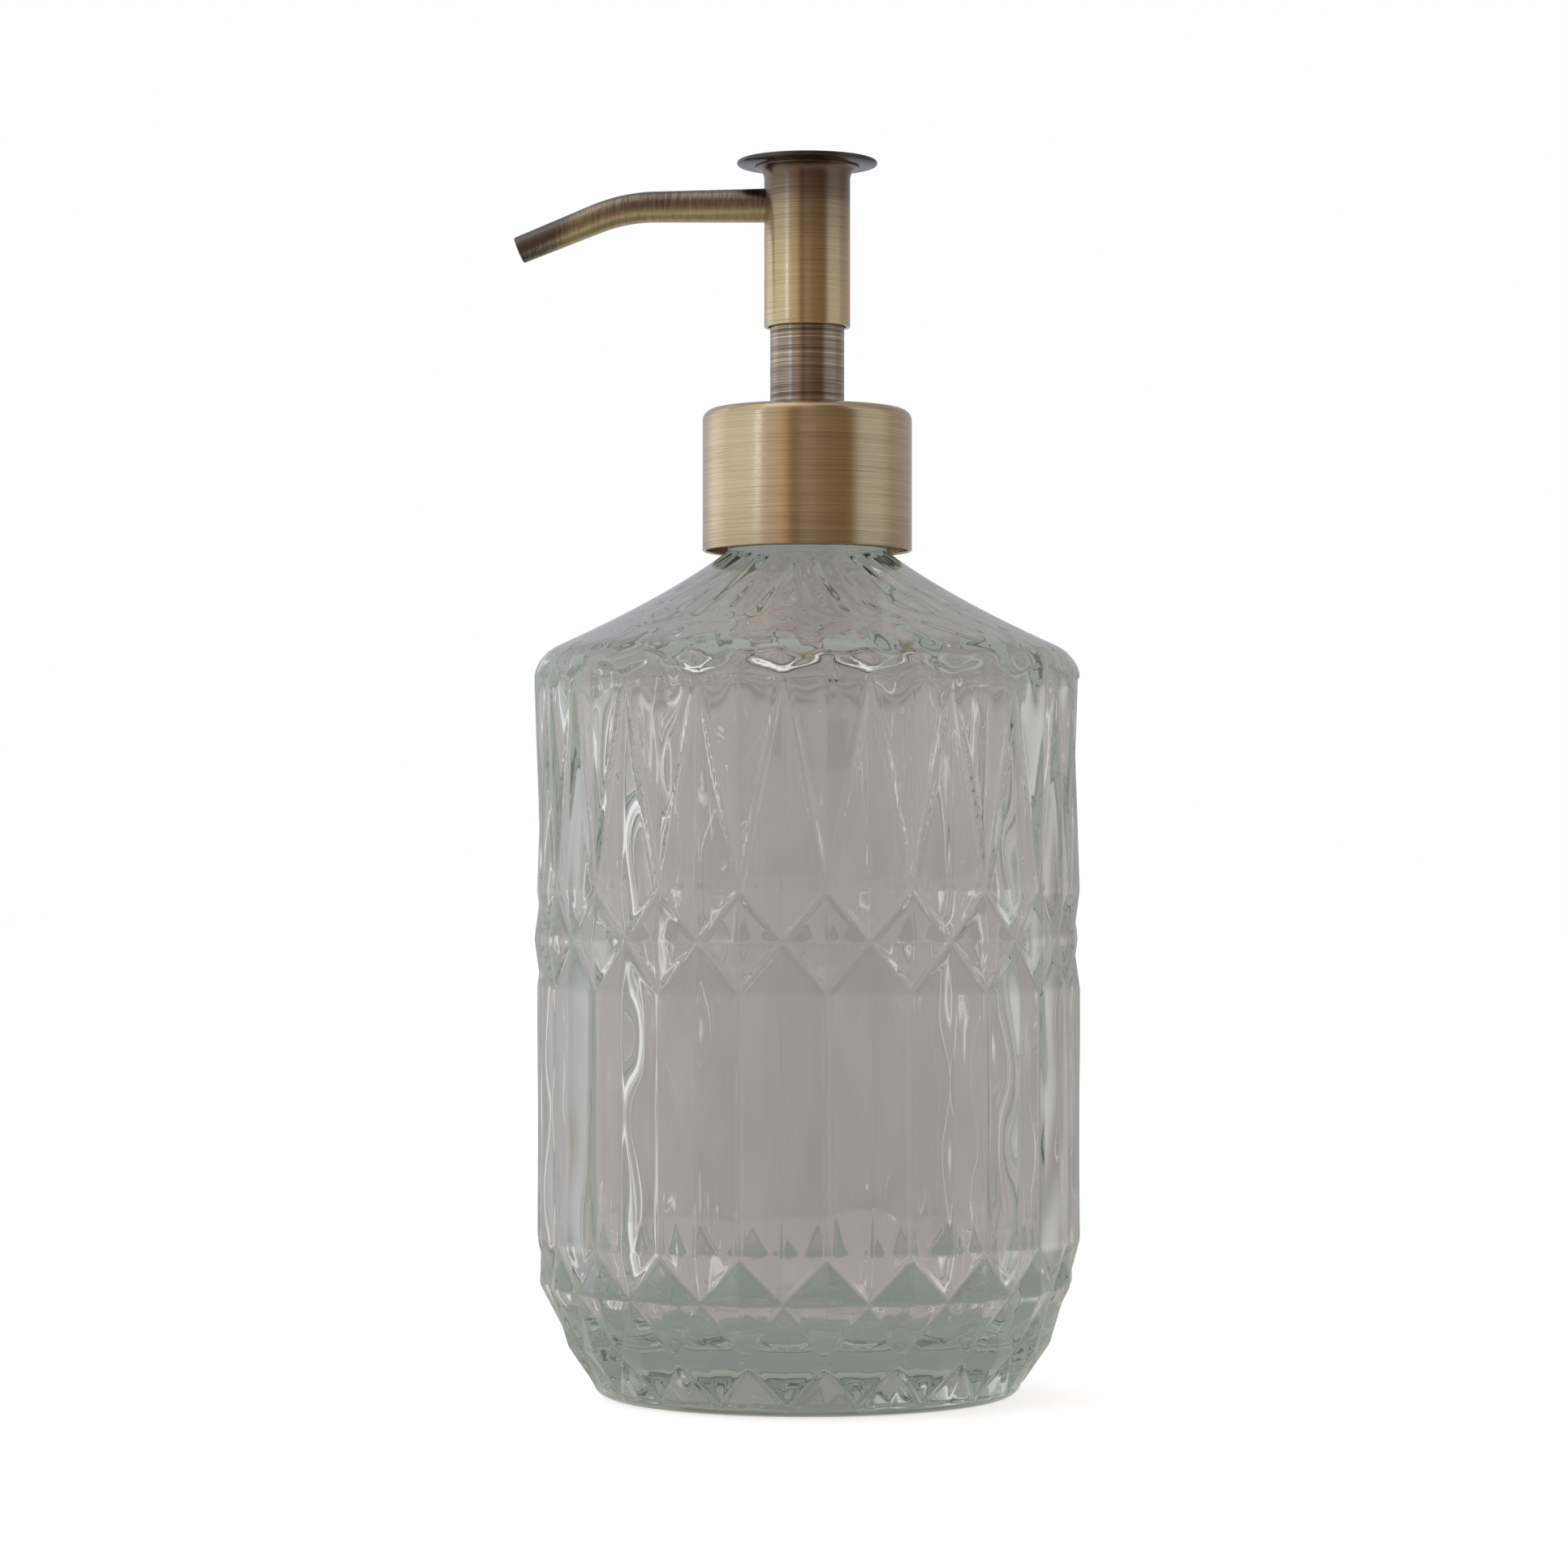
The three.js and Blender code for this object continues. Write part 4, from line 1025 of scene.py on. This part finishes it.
def build_world():
    """The room that metal and glass see, by direction round the set; the camera itself sees white."""
    world = bpy.data.worlds.new("studio")
    bpy.context.scene.world = world
    world.use_nodes = True
    tree = world.node_tree
    x, y, z = parts(tree, tree.nodes.new("ShaderNodeTexCoord").outputs["Generated"])
    heading = math_node(tree, "ARCTAN2", x, times(tree, y, -1.0))
    heading = math_node(tree, "SUBTRACT", heading, CAMERA_AZIMUTH)
    share = summed(tree, math_node(tree, "DIVIDE", heading, 2 * math.pi), 0.5)

    # Masks by steepness: 0 looks straight down, 0.5 level and 1 straight up.
    steep = from_minus_one(tree, z)
    tall = ramp(tree, steep, [(0.5, 0.0), (0.52, 1.0), (0.7, 1.0), (0.74, 0.0)])
    level = ramp(tree, steep, [(0.43, 0.0), (0.45, 1.0), (0.64, 1.0), (0.67, 0.0)])
    overhead_stops = [(0.0, 0.7), (0.44, 0.85), (0.5, 1.0), (0.56, 1.0), (0.64, 0.75), (1.0, 0.75)]
    overhead = ramp(tree, steep, overhead_stops)

    window = dimmed(tree, band_ramp(tree, share, WINDOW), tall)
    room = both(tree, heading_ramp(tree, share, ROOM), window)
    through = dimmed(tree, heading_ramp(tree, share, THROUGH_GLASS), overhead)
    through = both(tree, through, dimmed(tree, band_ramp(tree, share, GLASS_WINDOWS), tall))
    through = both(tree, through, dimmed(tree, band_ramp(tree, share, GROOVE_LIGHTS), level))
    path = tree.nodes.new("ShaderNodeLightPath")
    inside = math_node(tree, "GREATER_THAN", path.outputs["Transmission Depth"], 0.5)
    seen = mix_colour(tree, inside, room, through)
    seen = mix_colour(tree, path.outputs["Is Camera Ray"], seen, (1.0, 1.0, 1.0))
    tree.links.new(seen, tree.nodes["Background"].inputs["Color"])


def mixed_shader(tree, factor, first, second):
    """A Mix Shader's result."""
    node = tree.nodes.new("ShaderNodeMixShader")
    for socket, source in zip(node.inputs, (factor, first, second)):
        tree.links.new(source, socket)
    return node.outputs[0]


def build_floor():
    """A plain pale floor, bright to the camera.

    Glass and metal see it dimmer, and only near the bottle: beyond that they see the room.
    """
    material, tree, shader = new_material("pale_floor")
    tree.nodes.remove(shader)
    grain = noise(tree, object_position(tree), 60, 2)
    cloth = tree.nodes.new("ShaderNodeBsdfDiffuse")
    colour = mix_colour(tree, grain, (0.93, 0.93, 0.93), (0.95, 0.95, 0.95))
    tree.links.new(colour, cloth.inputs["Color"])
    glow = add(tree, "ShaderNodeEmission", Color=(1, 1, 1, 1), Strength=0.66)
    bright = tree.nodes.new("ShaderNodeAddShader")
    tree.links.new(cloth.outputs[0], bright.inputs[0])
    tree.links.new(glow.outputs[0], bright.inputs[1])

    path = tree.nodes.new("ShaderNodeLightPath")
    inside = math_node(tree, "GREATER_THAN", path.outputs["Transmission Depth"], 0.5)
    near = tree.nodes.new("ShaderNodeEmission")
    dim = mix_colour(tree, inside, (0.6, 0.57, 0.52), (0.225, 0.248, 0.232))
    tree.links.new(dim, near.inputs["Color"])
    _, radius, _ = turned_coordinates(tree)
    fade = ramp(tree, radius, [(0.08, 0.0), (0.4, 1.0)], "EASE")
    nothing = tree.nodes.new("ShaderNodeBsdfTransparent")
    reflected = mixed_shader(tree, fade, near.outputs[0], nothing.outputs[0])
    seen = mixed_shader(tree, path.outputs["Is Camera Ray"], reflected, bright.outputs[0])
    tree.links.new(seen, tree.nodes["Material Output"].inputs["Surface"])
    half = 6.0
    corners = [(-half, -half, 0), (half, -half, 0), (half, half, 0), (-half, half, 0)]
    floor = mesh_object("floor", corners, [(0, 1, 2, 3)], material, smooth=False)


def build_lights():
    """One wide, soft light from above."""
    light = bpy.data.lights.new("top_panel", "AREA")
    light.size = 0.9
    light.energy = 1.2
    obj = bpy.data.objects.new("top_panel", light)
    bpy.context.scene.collection.objects.link(obj)
    obj.location = (-0.15, -0.25, 1.2)
    obj.rotation_euler = (Vector((0, 0, 0.1)) - obj.location).to_track_quat("-Z", "Y").to_euler()


def build_camera():
    """Level camera at the height where the ring of diamonds lies, looking square at the axis."""
    camera = bpy.data.cameras.new("camera")
    camera.sensor_width = 36
    camera.lens = 104.3
    camera.shift_x = -0.0148
    camera.shift_y = 0.059
    obj = bpy.data.objects.new("camera", camera)
    bpy.context.scene.collection.objects.link(obj)
    obj.location = (
        CAMERA_DISTANCE * math.sin(CAMERA_AZIMUTH),
        -CAMERA_DISTANCE * math.cos(CAMERA_AZIMUTH),
        CAMERA_HEIGHT,
    )
    obj.rotation_euler = (math.radians(90), 0, CAMERA_AZIMUTH)
    bpy.context.scene.camera = obj


# ---------------------------------------------------------------- scene
def paint_nodes(natural, rubber, clear):
    """Gives every carried-over CAD node its material."""
    looks = {
        natural: [
            "closure_nut", "chaplet", "piston", "piston_stem", "stem_plunger", "head_core", "spout_liner",
        ],
        rubber: ["neck_gasket", "stem_wiper", "spout_seal"],
        clear: ["pump_housing", "dip_tube", "ball_cage", "check_ball"],
    }
    for material, names in looks.items():
        for name in names:
            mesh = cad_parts[name].data
            mesh.materials.clear()
            mesh.materials.append(material)


def build_all():
    """Every piece, the set, its light and the camera."""
    cap_brass = brass_material(
        "cap_brass",
        light=(0.62, 0.51, 0.33),
        dark=(0.3, 0.22, 0.14),
        tarnish_and_shade_stops=[(0.0, 0.4), (0.25, 0.2), (0.75, 0.15), (1.0, 0.35)],
        low_z=SHELL_LOW[2],
        high_z=SHELL_HIGH[2],
        lines=0.5,
        rings=0.16,
    )
    tube_brass = brass_material(
        "tube_brass",
        light=(0.6, 0.51, 0.38),
        dark=(0.13, 0.1, 0.085),
        tarnish_and_shade_stops=[(0.0, 0.7), (0.5, 0.5), (1.0, 0.6)],
        low_z=SHELL_HIGH[2],
        high_z=GUIDE_HIGH[2],
        lines=0.6,
        rings=0.6,
    )
    sleeve_brass = brass_material(
        "sleeve_brass",
        light=(0.62, 0.5, 0.3),
        dark=(0.17, 0.13, 0.1),
        # These stops darken the top of the sleeve, under the disc, with painted shade.
        tarnish_and_shade_stops=[(0.0, 0.05), (0.45, 0.2), (0.7, 0.55), (0.85, 1.0), (1.0, 1.3)],
        low_z=SLEEVE_LOW[2],
        high_z=SLEEVE_HIGH[2],
        lines=0.24,
        rings=0.08,
    )
    clear = clear_plastic_material()
    build_bottle(glass_material())
    build_cap_shell(cap_brass)
    build_guide_tube(tube_brass)
    build_head_sleeve(sleeve_brass)
    build_press_disc(dark_metal_material())
    build_spout(spout_material())
    build_return_spring(clear)
    paint_nodes(milky_plastic_material(), rubber_material(), clear)
    build_world()
    build_floor()
    build_lights()
    build_camera()
    bpy.context.scene.view_settings.view_transform = "Standard"


build_all()
